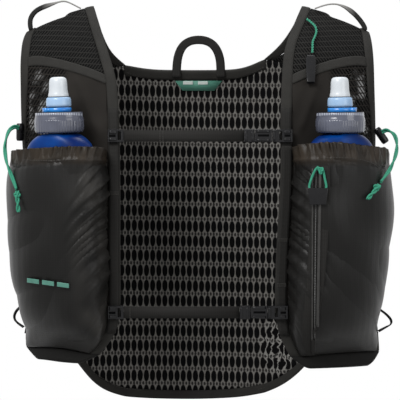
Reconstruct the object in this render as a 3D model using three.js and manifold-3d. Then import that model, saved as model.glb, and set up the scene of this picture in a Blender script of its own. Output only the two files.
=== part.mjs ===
// A running hydration vest, as worn: a padded mesh back, two mesh yokes that pass over the shoulders,
// two front panels that each carry a soft flask in a gathered pocket, and two sternum straps.
// Units are millimetres. X runs to the wearer's left, Y to the back, and Z up.
// The origin is the seat on the shoulders: the point midway between them, at the height of the strap ridge.
// Left and right in the names are as seen from the front, so left pieces lie at -X.
import * as THREE from "three";
import { mergeVertices } from "three/addons/utils/BufferGeometryUtils.js";
import Module from "manifold-3d";

const wasm = await Module();
wasm.setup();

// Driving sizes of the whole vest.
const BACK_LENGTH = 406; // shoulder seat down to the middle of the back hem
const FRONT_LENGTH = 353; // shoulder seat down to the foot of the front panel on the -X side
const FRONT_LENGTH_ZIP = 359; // the same on the +X side, whose pocket has the zip
const HALF_WIDTH = 182; // middle of the vest to the armhole edge
const CHEST_DEPTH = 108; // shoulder seat forward to the front panels
const BACK_DEPTH = 100; // shoulder seat back to the middle of the back panel
const BACK_HALF_WIDTH = 152; // middle of the back panel to its side edge
const BACK_WRAP = 48; // how far the sides of the back panel come forward
const WRAP_POWER = 2.2; // how late they do so, 1 for evenly from the middle

// Walls, edges and clearances.
const BACK_WALL = 4.5; // padded mesh with its outer cloth
const PANEL_WALL = 2.4; // two layers of front mesh
const POCKET_WALL = 1.5; // coated nylon of the flask pocket
const BINDING_WIDTH = 9; // folded tape round every free edge
const BINDING_PROUD = 0.8; // tape above the cloth on each face
const FOOT_BAND = 12; // height of the band at the foot of a front panel
const CLEAR = 0.35; // air between two pieces that touch
const WEB_THICK = 1.4; // all woven tapes

// Flask, cap and valve.
const FLASK_WIDTH = 76;
const FLASK_DEPTH = 42;
const FLASK_BODY = 172; // foot to the underside of the cap
const FLASK_SQUARE = 2.3; // how square its section is, 2 for an ellipse
const FLASK_STAND = 4.2; // between its back and the front panel
const FLASK_EASE = { left: 1.9, right: 1.1 }; // room between the flask and its pocket
const FLASK_OVER = { left: 0.29, right: 0.322 }; // where it stands across its front, as a share
const FLASK_PITCH = 3; // degrees that its top leans to the front
const FLASK_LEAN = { left: -1.5, right: -1 }; // degrees, in the plane of the front
const FLASK_ROWS = [
  { down: 0, wide: 0.5, deep: 0.88 },
  { down: 0.025, wide: 0.7, deep: 0.97 },
  { down: 0.06, wide: 0.9, deep: 1 },
  { down: 0.11, wide: 1, deep: 1 },
  { down: 0.3, wide: 1, deep: 1 },
  { down: 0.5, wide: 1, deep: 1 },
  { down: 0.68, wide: 0.99, deep: 0.88 },
  { down: 0.83, wide: 0.95, deep: 0.6 },
  { down: 0.94, wide: 0.87, deep: 0.3 },
  { down: 1, wide: 0.78, deep: 0.12 },
]; // down is a share of FLASK_BODY, wide of FLASK_WIDTH, deep of FLASK_DEPTH
const CAP_RADIUS = 25.2;
const CAP_HEIGHT = 20.5;
const CAP_TOP = 102; // top of the cap below the shoulder seat
const VALVE_RADIUS = 12.9;
const VALVE_BASE = 15; // height of the lock body between the cap and the bite valve
const VALVE_TIP_RADIUS = 9.4;
const VALVE_TIP = 19.5;
const VALVE_TIP_ROWS = [
  { up: 0, wide: 0 },
  { up: 0, wide: 1.12 },
  { up: 0.12, wide: 1.12 },
  { up: 0.25, wide: 1 },
  { up: 0.82, wide: 1 },
  { up: 0.96, wide: 0.82 },
  { up: 1, wide: 0.55 },
  { up: 1, wide: 0 },
]; // up is a share of VALVE_TIP, wide of VALVE_TIP_RADIUS
const CAP_ROWS = [
  { up: 0, wide: 0 },
  { up: 0, wide: 0.92 },
  { up: 0.1, wide: 1 },
  { up: 0.68, wide: 1 },
  { up: 0.78, wide: 0.95 },
  { up: 1, wide: 0.95 },
  { up: 1, wide: 0 },
]; // up is a share of CAP_HEIGHT, wide of CAP_RADIUS
const STEM_RADIUS = 9.2;
const STEM_SLOPE = 1; // height of the slope from the stem out to the lock body
const VALVE_CHAMFER = 1.5;
const LEVER_RING = 4.4; // height of the lever's ring
const LEVER_REACH = 16; // valve axis to the tip of the lever
const LEVER_WIDTH = 9;
const LEVER_ROOT = 1; // the ring's hole to the root of the arm inside the ring
const LEVER_TURN = { left: (-7 * Math.PI) / 8, right: -Math.PI / 8 }; // where its arm points

// Flask pockets.
const POCKET_MOUTH_DOWN = { left: 138, right: 136 }; // gathered mouth below the shoulder seat
const POCKET_CREST = 0.24; // the fullest line, as a share across the pocket
const POCKET_SIDE = { neck: 0.42, armhole: 1.75 }; // rise from each seam, less is steeper
const POCKET_COLUMNS = 20;
const POCKET_FOOT_GAP = 2; // pocket foot to the foot band
const GATHER_DEPTH = 0.9; // how far the gathers at the mouth swing in and out
const GATHER_REACH = 0.12; // how far they run down the pocket, as a share
const POCKET_ROWS = [
  { down: 0, rise: 1.06 },
  { down: 0.08, rise: 1.07 },
  { down: 0.3, rise: 1.06 },
  { down: 0.5, rise: 1.03 },
  { down: 0.68, rise: 0.94 },
  { down: 0.8, rise: 0.76 },
  { down: 0.9, rise: 0.46 },
  { down: 0.96, rise: 0.19 },
  { down: 1, rise: 0.02 },
]; // down is a share from mouth to foot, rise of the flask's depth with its ease

// Chest bands, side panels and rails.
const CHEST_BAND = 9;
const BAND_INNER_DOWN = 68; // the band's middle line below the shoulder seat, at the neck edge
const BAND_OUTER_DOWN = 48; // and at the armhole edge
const BAND_ARCH = 6;
const SIDE_PANEL_TOP = 200;
const SIDE_PANEL_FOOT = 328;
const SIDE_BULGE = 5;
const RAIL_TOP = 80;
const RAIL_FOOT = 330;
const RAIL_INSET = 0.06; // the rail's margin on the tape under it, as a share

// Sternum straps, with their distance below the shoulder seat.
const STRAPS = {
  upper: { down: 126, width: 11.5, taper: 1.08 },
  lower: { down: 300.5, width: 12, taper: 0.9 },
};
const HOOK_LENGTH = 16;
const HOOK_OVERLAP = 4.5; // how much of a hook lies beyond the middle of its rail
const HOOK_LIP = 0.7;
const HOOK_THICK = 3;
const HOOK_SLOT = { from: 3, to: 6, tall: 0.75 }; // from the strap's end, tall as a share
const HOOK_ACROSS = 0.04; // where a hook stands on its front, as a share from the neck edge
const TONGUE_LENGTH = 4;
const BUCKLE_LENGTH = 17;
const BUCKLE_THICK = 4.6;
const LADDER_LENGTH = 10.5;

// Hang loop and label at the neck.
const HANG_TAPE = 9.6;
const HANG_WIDTH = 24.2; // half the distance between the loop's legs
const HANG_RISE = 35; // neck edge up to the middle line of the loop's top
const HANG_SEWN = 6; // how far its ends are sewn down over the neck tape
const HANG_ROWS = [
  { across: -1, up: 0 },
  { across: -0.98, up: 0.3 },
  { across: -0.93, up: 0.58 },
  { across: -0.72, up: 0.86 },
  { across: -0.3, up: 1 },
  { across: 0.3, up: 1 },
  { across: 0.72, up: 0.86 },
  { across: 0.95, up: 0.58 },
  { across: 1, up: 0.3 },
  { across: 1, up: 0 },
]; // across is a share of HANG_WIDTH, up of HANG_SEWN + HANG_RISE
const LABEL_WIDTH = 52;
const LABEL_HEIGHT = 10.8;
const LABEL_TAPER = 0.67;
const LABEL_THICK = 0.8;

// Elastic loops.
const ELASTIC_WIDTH = 5;
const ELASTIC_THICK = 1.2;
const SHOULDER_LOOP_RISE = 17.5;
const SHOULDER_LOOP_AT = { outer: 0.02, inner: 0 }; // places along the front
const SHOULDER_LOOP_ROWS = {
  left: [
    { across: 0, up: 0 },
    { across: -0.02, up: 0.48 },
    { across: 0.02, up: 0.78 },
    { across: 0.12, up: 1 },
    { across: 0.31, up: 1 },
    { across: 0.45, up: 0.95 },
    { across: 0.61, up: 0.93 },
    { across: 0.73, up: 0.75 },
    { across: 0.86, up: 0.39 },
    { across: 1, up: 0 },
  ],
  right: [
    { across: 0, up: 0 },
    { across: 0.02, up: 0.2 },
    { across: 0.18, up: 0.64 },
    { across: 0.36, up: 0.83 },
    { across: 0.51, up: 0.85 },
    { across: 0.64, up: 0.74 },
    { across: 0.8, up: 0.47 },
    { across: 1, up: 0 },
  ],
}; // across is a share of the way between the loop's ends, up of SHOULDER_LOOP_RISE
const SIDE_LOOP_WIDTH = 4;
const SIDE_LOOP_STEPS = 8;
const SIDE_LOOP_RISE = { left: 10, right: 14 };
const SIDE_LOOP_AT = { top: 0.78, foot: 0.9, across: 0.88 }; // places on the flask pocket

// Cords, with the middle lines that they follow, in millimetres.
const CORD_WIDTH = 4.6; // two strands side by side
const KNOT_SIZE = [8, 6.5, 8];
const LOCK_WIDTH = 8;
const LOCK_LENGTH = 18;
const LOCK_SIDES = 12;
const LOCK_ROWS = [
  { up: -1, wide: 0 },
  { up: -1, wide: 0.8 },
  { up: -0.75, wide: 1 },
  { up: 0.75, wide: 1 },
  { up: 1, wide: 0.8 },
  { up: 1, wide: 0 },
]; // up is a share of half the length, wide of half the width
// Each drawcord bows out from the straight line between its lock, beside the armhole edge, and its knot,
// on the flask pocket. The offsets are in millimetres, and a bow's stops are evenly spaced on that line.
const DRAWCORD_ROUTES = {
  left: {
    lockDown: 119,
    lockOff: [-2.56, -11.44, 0],
    lockTurn: 0,
    knotAt: { along: 0.215, across: 0.59 },
    knotOff: [-3.79, -3.09, 0.52],
    bow: [
      [-0.6, -7, 4],
      [-5.63, 0.91, 14.36],
      [-11.26, 2.83, 18.21],
      [-13.89, -1.26, 13.07],
      [-12.01, -5.34, 8.43],
      [-8.14, -6.43, 6.79],
      [-3.77, -4.01, 5.14],
      [-0.9, 1.9, 6],
    ],
    tail: [
      [0.2, 0, -1.5],
      [1.2, 0.4, -16.5],
    ],
  },
  right: {
    lockDown: 122.5,
    lockOff: [6.68, -11.39, 0],
    lockTurn: -35,
    knotAt: { along: 0.185, across: 0.57 },
    knotOff: [4.18, -3.38, 0.42],
    bow: [
      [0, -7.6, 3.5],
      [7.11, 1.32, 12.71],
      [14.83, 4.24, 15.43],
      [18.04, 3.16, 12.64],
      [16.26, 0.09, 7.36],
      [11.47, -4.24, 3.07],
      [7.69, 0.18, 3.69],
      [4.4, 7.1, 5.4],
    ],
    tail: [
      [-0.6, -1, -1.5],
      [-10.1, -9.9, -11.5],
    ],
  },
};
// The zip's tape lies between these columns of the pocket's folds, from this share of its height down.
const ZIP_COLUMNS = [4, 5, 6, 7];
const ZIP_TOP = 0.1;
const ZIP_TAPE_THICK = 1.2;
const ZIP_CORD_WIDTH = 2.4;
const PULL_AT = { along: 0.1, across: 0.275 }; // the place on the pocket that the pull hangs from
const ZIP_CORD_ROUTE = [
  [-2.32, -5.1, -1.05],
  [-5.82, -5.6, -4.55],
  [-9.32, -5.1, -12.55],
  [-11.32, -4.1, -20.55],
  [-9.32, -4.6, -23.95],
  [-2.82, -5.4, -24.35],
  [3.18, -5.6, -23.95],
  [5.18, -5.6, -20.55],
  [3.68, -5.6, -12.55],
  [2.18, -5.4, -4.55],
]; // offsets from that place, in millimetres, as is PULL_TAB_OFF
const PULL_TAB_OFF = [-3.02, -5.1, -26.15];
const PULL_TAB_WIDTH = 20;
const PULL_TAB_LENGTH = 12;
const PULL_TAB_TAPER = 0.8;
const PULL_TAB_THICK = 2.2;
const WHISTLE_CORD_WIDTH = 2.6;
const WHISTLE_CORD_ROUTE = [
  [112.5, -24.4, -1],
  [116.5, -28.4, -4.5],
  [120.5, -36.4, -9.5],
  [121.5, -42.4, -15.5],
  [119.5, -50, -21.5],
  [117.2, -56, -26.5],
  [116.5, -63, -33],
  [116, -69, -39],
];
const WHISTLE_HEAD = [114, -74.4, -43];
const WHISTLE_FOOT = [113, -91.4, -71];
const WHISTLE_WIDTH = 9.6;
const WHISTLE_THICK = 4;
const WHISTLE_ROWS = [
  { down: 0, wide: 0.75 },
  { down: 0.12, wide: 1 },
  { down: 0.55, wide: 1 },
  { down: 1, wide: 0.82 },
];

// Front sections from the back seam (-1) over the ridge (0) to the foot (1).
// in and out are the neck edge and the armhole edge: across is a share of HALF_WIDTH, down of the
// front length, fore of CHEST_DEPTH in front and of BACK_DEPTH behind. crown is a share of CHEST_DEPTH.
// The plain columns are the -X side and the zip columns the +X side.
const FRONT_ROWS = [
  { at: -0.75, inAcross: 0.533, inZip: 0.5, inDown: 0.081, inZipDown: 0.057, inFore: -0.58,
    outAcross: 0.89, outZip: 0.89, outDown: 0.161, outFore: -0.46, crown: 0.03 },
  { at: -0.5, inAcross: 0.566, inZip: 0.549, inDown: 0.034, inZipDown: 0.017, inFore: -0.44,
    outAcross: 0.94, outZip: 0.94, outDown: 0.102, outFore: -0.37, crown: 0.03 },
  { at: -0.25, inAcross: 0.59, inZip: 0.577, inDown: -0.003, inZipDown: -0.008, inFore: -0.25,
    outAcross: 0.973, outZip: 0.967, outDown: 0.057, outFore: -0.2, crown: 0.03 },
  { at: 0, inAcross: 0.604, inZip: 0.596, inDown: -0.037, inZipDown: -0.036, inFore: 0,
    outAcross: 0.98, outZip: 0.975, outDown: 0.037, outFore: 0, crown: 0.03 },
  { at: 0.08, inAcross: 0.556, inZip: 0.533, inDown: 0.038, inZipDown: 0.037, inFore: 0.32,
    outAcross: 1.0, outZip: 0.984, outDown: 0.08, outFore: 0.23, crown: 0.05 },
  { at: 0.15, inAcross: 0.511, inZip: 0.482, inDown: 0.107, inZipDown: 0.105, inFore: 0.56,
    outAcross: 1.0, outZip: 0.985, outDown: 0.133, outFore: 0.37, crown: 0.08 },
  { at: 0.22, inAcross: 0.462, inZip: 0.467, inDown: 0.186, inZipDown: 0.183, inFore: 0.76,
    outAcross: 0.995, outZip: 0.984, outDown: 0.193, outFore: 0.43, crown: 0.12 },
  { at: 0.28, inAcross: 0.444, inZip: 0.458, inDown: 0.251, inZipDown: 0.247, inFore: 0.88,
    outAcross: 0.994, outZip: 0.986, outDown: 0.245, outFore: 0.37, crown: 0.15 },
  { at: 0.34, inAcross: 0.437, inZip: 0.451, inDown: 0.323, inZipDown: 0.317, inFore: 0.945,
    outAcross: 0.998, outZip: 1.0, outDown: 0.317, outFore: 0.28, crown: 0.18 },
  { at: 0.41, inAcross: 0.434, inZip: 0.456, inDown: 0.394, inZipDown: 0.387, inFore: 0.98,
    outAcross: 0.99, outZip: 0.998, outDown: 0.394, outFore: 0.19, crown: 0.21 },
  { at: 0.54, inAcross: 0.43, inZip: 0.447, inDown: 0.535, inZipDown: 0.526, inFore: 1.0,
    outAcross: 0.984, outZip: 0.998, outDown: 0.535, outFore: 0.08, crown: 0.25 },
  { at: 0.68, inAcross: 0.431, inZip: 0.431, inDown: 0.677, inZipDown: 0.666, inFore: 0.98,
    outAcross: 0.978, outZip: 0.992, outDown: 0.677, outFore: 0.04, crown: 0.25 },
  { at: 0.82, inAcross: 0.43, inZip: 0.424, inDown: 0.819, inZipDown: 0.805, inFore: 0.945,
    outAcross: 0.955, outZip: 1.0, outDown: 0.819, outFore: 0.05, crown: 0.23 },
  { at: 0.88, inAcross: 0.435, inZip: 0.426, inDown: 0.881, inZipDown: 0.872, inFore: 0.917,
    outAcross: 0.975, outZip: 1.01, outDown: 0.881, outFore: 0.08, crown: 0.21 },
  { at: 0.94, inAcross: 0.475, inZip: 0.47, inDown: 0.94, inZipDown: 0.932, inFore: 0.88,
    outAcross: 0.99, outZip: 1.03, outDown: 0.935, outFore: 0.14, crown: 0.17 },
  { at: 0.975, inAcross: 0.553, inZip: 0.513, inDown: 0.977, inZipDown: 0.967, inFore: 0.852,
    outAcross: 0.97, outZip: 1.02, outDown: 0.966, outFore: 0.24, crown: 0.12 },
  { at: 1, inAcross: 0.653, inZip: 0.6, inDown: 1.0, inZipDown: 1.0, inFore: 0.833,
    outAcross: 0.9, outZip: 0.975, outDown: 0.997, outFore: 0.45, crown: 0.06 },
];

const CROWN_LEVEL = 0.4; // from here down a front's crown stands straight out, without rising
const SEAM_BLEND = -0.7; // from here to the back seam (-1) a yoke takes up the back's own curve

// The back panel's outline. across is a share of its half width, down of BACK_LENGTH.
const NECK_ROWS = [
  { across: -1, down: 0.185 },
  { across: -0.52, down: 0.107 },
  { across: -0.45, down: 0.114 },
  { across: -0.36, down: 0.118 },
  { across: -0.2, down: 0.119 },
  { across: 0, down: 0.119 },
  { across: 0.2, down: 0.119 },
  { across: 0.3, down: 0.117 },
  { across: 0.39, down: 0.107 },
  { across: 0.47, down: 0.091 },
  { across: 1, down: 0.185 },
];
const NECK_END = { left: 0.52, right: 0.47 }; // where the yokes take over from the neckline
const HEM_ROWS = [
  { across: -1, down: 0.832 },
  { across: -0.93, down: 0.862 },
  { across: -0.85, down: 0.904 },
  { across: -0.76, down: 0.951 },
  { across: -0.7, down: 0.969 },
  { across: -0.6, down: 0.985 },
  { across: -0.42, down: 0.996 },
  { across: 0, down: 1.0 },
  { across: 0.3, down: 0.994 },
  { across: 0.47, down: 0.982 },
  { across: 0.6, down: 0.962 },
  { across: 0.7, down: 0.934 },
  { across: 0.78, down: 0.9 },
  { across: 0.87, down: 0.862 },
  { across: 1, down: 0.832 },
];
// The back's side outline and its depth down the middle.
// half is a share of BACK_HALF_WIDTH, deep of BACK_DEPTH.
const SPINE_ROWS = [
  { down: 0.09, half: 1.0, deep: 0.8 },
  { down: 0.185, half: 1.0, deep: 0.92 },
  { down: 0.25, half: 0.955, deep: 0.965 },
  { down: 0.32, half: 0.915, deep: 0.99 },
  { down: 0.42, half: 0.93, deep: 1.0 },
  { down: 0.49, half: 0.975, deep: 1.0 },
  { down: 0.6, half: 1.0, deep: 0.97 },
  { down: 0.7, half: 1.0, deep: 0.93 },
  { down: 0.84, half: 0.985, deep: 0.89 },
  { down: 1.0, half: 0.98, deep: 0.9 },
];

// The value of one column of a table at a place between its rows, on a smooth curve through them.
function column(rows, key, at, name) {
  const last = rows.length - 1;
  if (at <= rows[0][key]) return rows[0][name];
  if (at >= rows[last][key]) return rows[last][name];
  let i = 0;
  while (rows[i + 1][key] < at) i++;
  const slope = (k) => {
    if (k <= 0 || k >= last) return (rows[Math.min(k + 1, last)][name] - rows[Math.max(k - 1, 0)][name])
      / (rows[Math.min(k + 1, last)][key] - rows[Math.max(k - 1, 0)][key]);
    const before = (rows[k][name] - rows[k - 1][name]) / (rows[k][key] - rows[k - 1][key]);
    const after = (rows[k + 1][name] - rows[k][name]) / (rows[k + 1][key] - rows[k][key]);
    return before * after <= 0 ? 0 : (2 * before * after) / (before + after);
  };
  const span = rows[i + 1][key] - rows[i][key];
  const u = (at - rows[i][key]) / span;
  return (
    (2 * u ** 3 - 3 * u ** 2 + 1) * rows[i][name] +
    (u ** 3 - 2 * u ** 2 + u) * span * slope(i) +
    (3 * u ** 2 - 2 * u ** 3) * rows[i + 1][name] +
    (u ** 3 - u ** 2) * span * slope(i + 1)
  );
}

const mix = (a, b, share) => a + (b - a) * share;
const clamp = (x, low, high) => Math.min(high, Math.max(low, x));
const steps = (from, to, count) => Array.from({ length: count + 1 }, (_, i) => mix(from, to, i / count));
const vec = (x, y, z) => new THREE.Vector3(x, y, z);

// A curved cloth form: place(along, over) gives its middle surface, and out is a rough outward direction.
function form(place, out) {
  const step = 1e-3;
  const normal = (along, over) => {
    const a = place(along + step, over).sub(place(along - step, over));
    const b = place(along, over + step).sub(place(along, over - step));
    const n = a.cross(b).normalize();
    return n.dot(out(along, over)) < 0 ? n.negate() : n;
  };
  const point = (along, over, rise = 0) => place(along, over).addScaledVector(normal(along, over), rise);
  return { place, normal, point };
}

// The back: along runs from the neckline (0) to the hem (1), over from the -X edge (-1) to the +X edge (1).
const backPlace = (along, over) => {
  const across = clamp(over, -1, 1);
  const neckDown = column(NECK_ROWS, "across", across, "down");
  const down = mix(neckDown, column(HEM_ROWS, "across", across, "down"), along);
  const x = over * column(SPINE_ROWS, "down", down, "half") * BACK_HALF_WIDTH;
  const wrap = BACK_WRAP * Math.abs(x / BACK_HALF_WIDTH) ** WRAP_POWER;
  const y = BACK_DEPTH * column(SPINE_ROWS, "down", down, "deep") - wrap;
  return vec(x, y, -down * BACK_LENGTH);
};
const back = form(backPlace, () => vec(0, 1, 0));

// A front with its yoke: along is the table's own column, over from the neck edge (0) to the armhole (1).
function frontForm(side) {
  const zip = side > 0;
  const length = zip ? FRONT_LENGTH_ZIP : FRONT_LENGTH;
  const seamOver = side * (zip ? NECK_END.right : NECK_END.left);
  const fore = (share) => -share * (share < 0 ? BACK_DEPTH : CHEST_DEPTH);
  const edge = (row, across, down, foreName) =>
    vec(side * row[across] * HALF_WIDTH, fore(row[foreName]), -row[down] * length);
  const rows = FRONT_ROWS.map((row) => ({
    at: row.at,
    neck: edge(row, zip ? "inZip" : "inAcross", zip ? "inZipDown" : "inDown", "inFore"),
    arm: edge(row, zip ? "outZip" : "outAcross", "outDown", "outFore"),
    crown: row.crown * CHEST_DEPTH,
  }));
  rows.unshift({ at: -1, neck: backPlace(0, seamOver), arm: backPlace(0, side), crown: 0 });
  rows.forEach((row) => {
    for (const edgeName of ["neck", "arm"])
      for (const axis of ["x", "y", "z"]) row[edgeName + axis] = row[edgeName][axis];
  });
  const at = (edgeName, along) =>
    vec(...["x", "y", "z"].map((axis) => column(rows, "at", along, edgeName + axis)));
  const flat = (along, over) => at("neck", along).lerp(at("arm", along), over);
  const out = (along) => vec(side * 0.8, along < 0 ? 0.4 : -0.9, Math.abs(along) < 0.16 ? 1.5 : 0);
  const flatNormal = form(flat, out).normal;
  const level = (along, over) => {
    const n = flatNormal(clamp(along, -0.995, 0.995), over);
    return n.setZ(n.z * clamp((CROWN_LEVEL - along) / CROWN_LEVEL, 0, 1)).normalize();
  };
  const seam = (over) => backPlace(0, mix(seamOver, side, over));
  const place = (along, over) => {
    const crown = column(rows, "at", along, "crown") * 4 * over * (1 - over);
    const free = flat(along, over).addScaledVector(level(along, over), crown);
    const sewn = clamp((SEAM_BLEND - along) / (SEAM_BLEND + 1), 0, 1) ** 2;
    return sewn > 0 ? free.lerp(seam(over), sewn) : free;
  };
  const made = form(place, out);
  const width = (along) => at("neck", along).distanceTo(at("arm", along));
  // The place along the front whose middle surface is this far below the shoulder seat.
  const alongAt = (down, over) => {
    let low = 0.03;
    let high = 1;
    for (let i = 0; i < 22; i++) {
      const middle = (low + high) / 2;
      if (-place(middle, over).z < down) low = middle;
      else high = middle;
    }
    return (low + high) / 2;
  };
  return { ...made, side, length, width, alongAt };
}
const fronts = { left: frontForm(-1), right: frontForm(1) };

const meshes = [];
const MATERIALS = {
  spacer_mesh: { color: 0x3b3a38, roughness: 0.9 },
  shell_nylon: { color: 0x2a2a28, roughness: 0.55 },
  stretch_mesh: { color: 0x262524, roughness: 0.9 },
  binding_tape: { color: 0x33322f, roughness: 0.85 },
  webbing: { color: 0x2c2c2b, roughness: 0.85 },
  black_plastic: { color: 0x232325, roughness: 0.45 },
  flask_film: { color: 0x0b4a9a, roughness: 0.25 },
  cap_plastic: { color: 0x6d7280, roughness: 0.3 },
  valve_silicone: { color: 0xcfdde6, roughness: 0.35 },
  lever_plastic: { color: 0x1e8fe0, roughness: 0.35 },
  green_cord: { color: 0x2f9a78, roughness: 0.7 },
  green_label: { color: 0x2f8f74, roughness: 0.6 },
};
const shades = {};
for (const [name, look] of Object.entries(MATERIALS)) shades[name] = new THREE.MeshStandardMaterial(look);
function add(name, geometry, shade) {
  const mesh = new THREE.Mesh(geometry, shades[shade]);
  mesh.name = name;
  meshes.push(mesh);
  return mesh;
}

// A closed geometry from points and triangles, turned the right way out.
function closed(points, triangles) {
  let volume = 0;
  for (const [a, b, c] of triangles) volume += points[a].dot(points[b].clone().cross(points[c]));
  const turned = volume < 0 ? triangles.map(([a, b, c]) => [a, c, b]) : triangles;
  const geometry = new THREE.BufferGeometry();
  geometry.setFromPoints(points);
  geometry.setIndex(turned.flat());
  geometry.computeVertexNormals();
  return geometry;
}

// A wall between two grids of points that face each other, closed round its edge.
function wall(inner, outer) {
  const rows = inner.length;
  const columns = inner[0].length;
  const points = [...inner.flat(), ...outer.flat()];
  const id = (layer, i, j) => layer * rows * columns + i * columns + j;
  const triangles = [];
  const quad = (a, b, c, d) => triangles.push([a, b, c], [a, c, d]);
  for (let i = 0; i < rows - 1; i++)
    for (let j = 0; j < columns - 1; j++) {
      quad(id(1, i, j), id(1, i + 1, j), id(1, i + 1, j + 1), id(1, i, j + 1));
      quad(id(0, i, j + 1), id(0, i + 1, j + 1), id(0, i + 1, j), id(0, i, j));
    }
  for (let i = 0; i < rows - 1; i++) {
    quad(id(0, i, 0), id(0, i + 1, 0), id(1, i + 1, 0), id(1, i, 0));
    quad(id(1, i, columns - 1), id(1, i + 1, columns - 1), id(0, i + 1, columns - 1), id(0, i, columns - 1));
  }
  for (let j = 0; j < columns - 1; j++) {
    quad(id(1, 0, j), id(1, 0, j + 1), id(0, 0, j + 1), id(0, 0, j));
    quad(id(0, rows - 1, j), id(0, rows - 1, j + 1), id(1, rows - 1, j + 1), id(1, rows - 1, j));
  }
  return closed(points, triangles);
}

// A wall on a form: over may be a list, or a function of along that gives one.
function panel(cloth, alongs, overs, low, high) {
  const grid = (rise) =>
    alongs.map((along) =>
      (typeof overs === "function" ? overs(along) : overs).map((over) =>
        cloth.point(along, over, typeof rise === "function" ? rise(along, over) : rise),
      ),
    );
  return wall(grid(low), grid(high));
}

// Booleans on closed geometries.
function solid(geometry) {
  const bare = geometry.index ? geometry.toNonIndexed() : geometry.clone();
  for (const name of Object.keys(bare.attributes)) if (name !== "position") bare.deleteAttribute(name);
  const merged = mergeVertices(bare, 1e-3);
  return new wasm.Manifold(
    new wasm.Mesh({
      numProp: 3,
      vertProperties: merged.attributes.position.array,
      triVerts: new Uint32Array(merged.index.array),
    }),
  );
}
function geometryOf(manifold) {
  const biggest = manifold.decompose().sort((a, b) => b.volume() - a.volume())[0];
  const mesh = biggest.getMesh();
  const geometry = new THREE.BufferGeometry();
  geometry.setAttribute("position", new THREE.Float32BufferAttribute(mesh.vertProperties, 3));
  geometry.setIndex([...mesh.triVerts]);
  geometry.computeVertexNormals();
  return geometry;
}
const cut = (geometry, ...tools) =>
  geometryOf(tools.reduce((made, tool) => made.subtract(solid(tool)), solid(geometry)));
const join = (...parts) => geometryOf(parts.map(solid).reduce((a, b) => a.add(b)));

const sides = { left: -1, right: 1 };

// The way a line of points runs at one of them.
const heading = (points, i) => {
  const next = points[Math.min(i + 1, points.length - 1)];
  return next.clone().sub(points[Math.max(i - 1, 0)]).normalize();
};

// A flat band along a line: each stop gives its centre, the direction across it and the way it faces.
function ribbon(stops, thick) {
  const corner = ({ centre, across, facing, width }, edge, layer) =>
    centre.clone().addScaledVector(across, (edge * width) / 2).addScaledVector(facing, (layer * thick) / 2);
  const grid = (layer) => stops.map((stop) => [corner(stop, -1, layer), corner(stop, 1, layer)]);
  return wall(grid(-1), grid(1));
}

// A solid of rings: each ring is a list of points, and both ends are closed by a fan.
function lofted(rings) {
  const count = rings[0].length;
  const points = rings.flat();
  const triangles = [];
  const id = (i, j) => i * count + (j % count);
  for (let i = 0; i < rings.length - 1; i++)
    for (let j = 0; j < count; j++) {
      triangles.push([id(i, j), id(i, j + 1), id(i + 1, j + 1)]);
      triangles.push([id(i, j), id(i + 1, j + 1), id(i + 1, j)]);
    }
  const cap = (ring, flip) => {
    const centre = rings[ring].reduce((sum, p) => sum.add(p), vec(0, 0, 0)).divideScalar(count);
    points.push(centre);
    for (let j = 0; j < count; j++) {
      const a = id(ring, j);
      const b = id(ring, j + 1);
      triangles.push(flip ? [points.length - 1, b, a] : [points.length - 1, a, b]);
    }
  };
  cap(0, true);
  cap(rings.length - 1, false);
  return closed(points, triangles);
}

// A turned piece from a profile of radius and height that starts and ends on the axis.
const turned = (profile, sidesRound) => {
  const made = new THREE.LatheGeometry(profile.map(([r, z]) => new THREE.Vector2(r, z)), sidesRound);
  made.deleteAttribute("uv");
  made.deleteAttribute("normal");
  return mergeVertices(made.rotateX(Math.PI / 2), 1e-4);
};

// The back panel, with its neck, hem and armhole tapes. All four share the back's own lines across.
const sideShare = BINDING_WIDTH / BACK_HALF_WIDTH;
const clearShare = CLEAR / BACK_HALF_WIDTH;
const backHeight = (over) => backPlace(0, over).distanceTo(backPlace(1, over));
const neckShare = (over) => BINDING_WIDTH / backHeight(over);
const gapShare = (over) => CLEAR / backHeight(over);
const inNeck = (over) => over > -NECK_END.left - 1e-6 && over < NECK_END.right + 1e-6;
const panelEdge = 1 - sideShare - clearShare;
const SEAM_STEP = 0.025; // the tape's end, as a share of the half width
const BACK_OVERS = [
  ...[-0.85, -0.76, -0.66, -0.36, -0.2, 0, 0.2, 0.33, 0.6, 0.7, 0.78, 0.87],
  ...[-panelEdge, -NECK_END.left - SEAM_STEP, -NECK_END.left],
  ...[NECK_END.right, NECK_END.right + SEAM_STEP, panelEdge],
].sort((a, b) => a - b);
const backStrip = (overs, rows, low, high) => {
  const grid = (rise) => rows.map((row) => overs.map((over) => back.point(row(over), over, rise)));
  return wall(grid(low), grid(high));
};
const backProud = BACK_WALL / 2 + BINDING_PROUD;
{
  const top = (over) => (inNeck(over) ? neckShare(over) + gapShare(over) : gapShare(over));
  const foot = (over) => 1 - neckShare(over) - gapShare(over);
  const shares = [0, 0.02, 0.05, ...steps(0.1, 1, 9)];
  const rows = shares.map((r) => (over) => mix(top(over), foot(over), r));
  add("back_panel", backStrip(BACK_OVERS, rows, -BACK_WALL / 2, BACK_WALL / 2), "spacer_mesh");

  const neckOvers = BACK_OVERS.filter(inNeck);
  add("neck_binding", backStrip(neckOvers, [() => 0, neckShare], -backProud, backProud), "binding_tape");
  const hemRows = [(over) => 1 - neckShare(over), () => 1];
  add("hem_binding", backStrip([-1, ...BACK_OVERS, 1], hemRows, -backProud, backProud), "binding_tape");
  for (const [name, side] of Object.entries(sides)) {
    const overs = [side * (1 - sideShare), side];
    const sideRows = shares.map((r) => (over) => mix(gapShare(over), foot(over), r));
    add(`${name}_back_edge_binding`, backStrip(overs, sideRows, -backProud, backProud), "binding_tape");
  }
}

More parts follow.
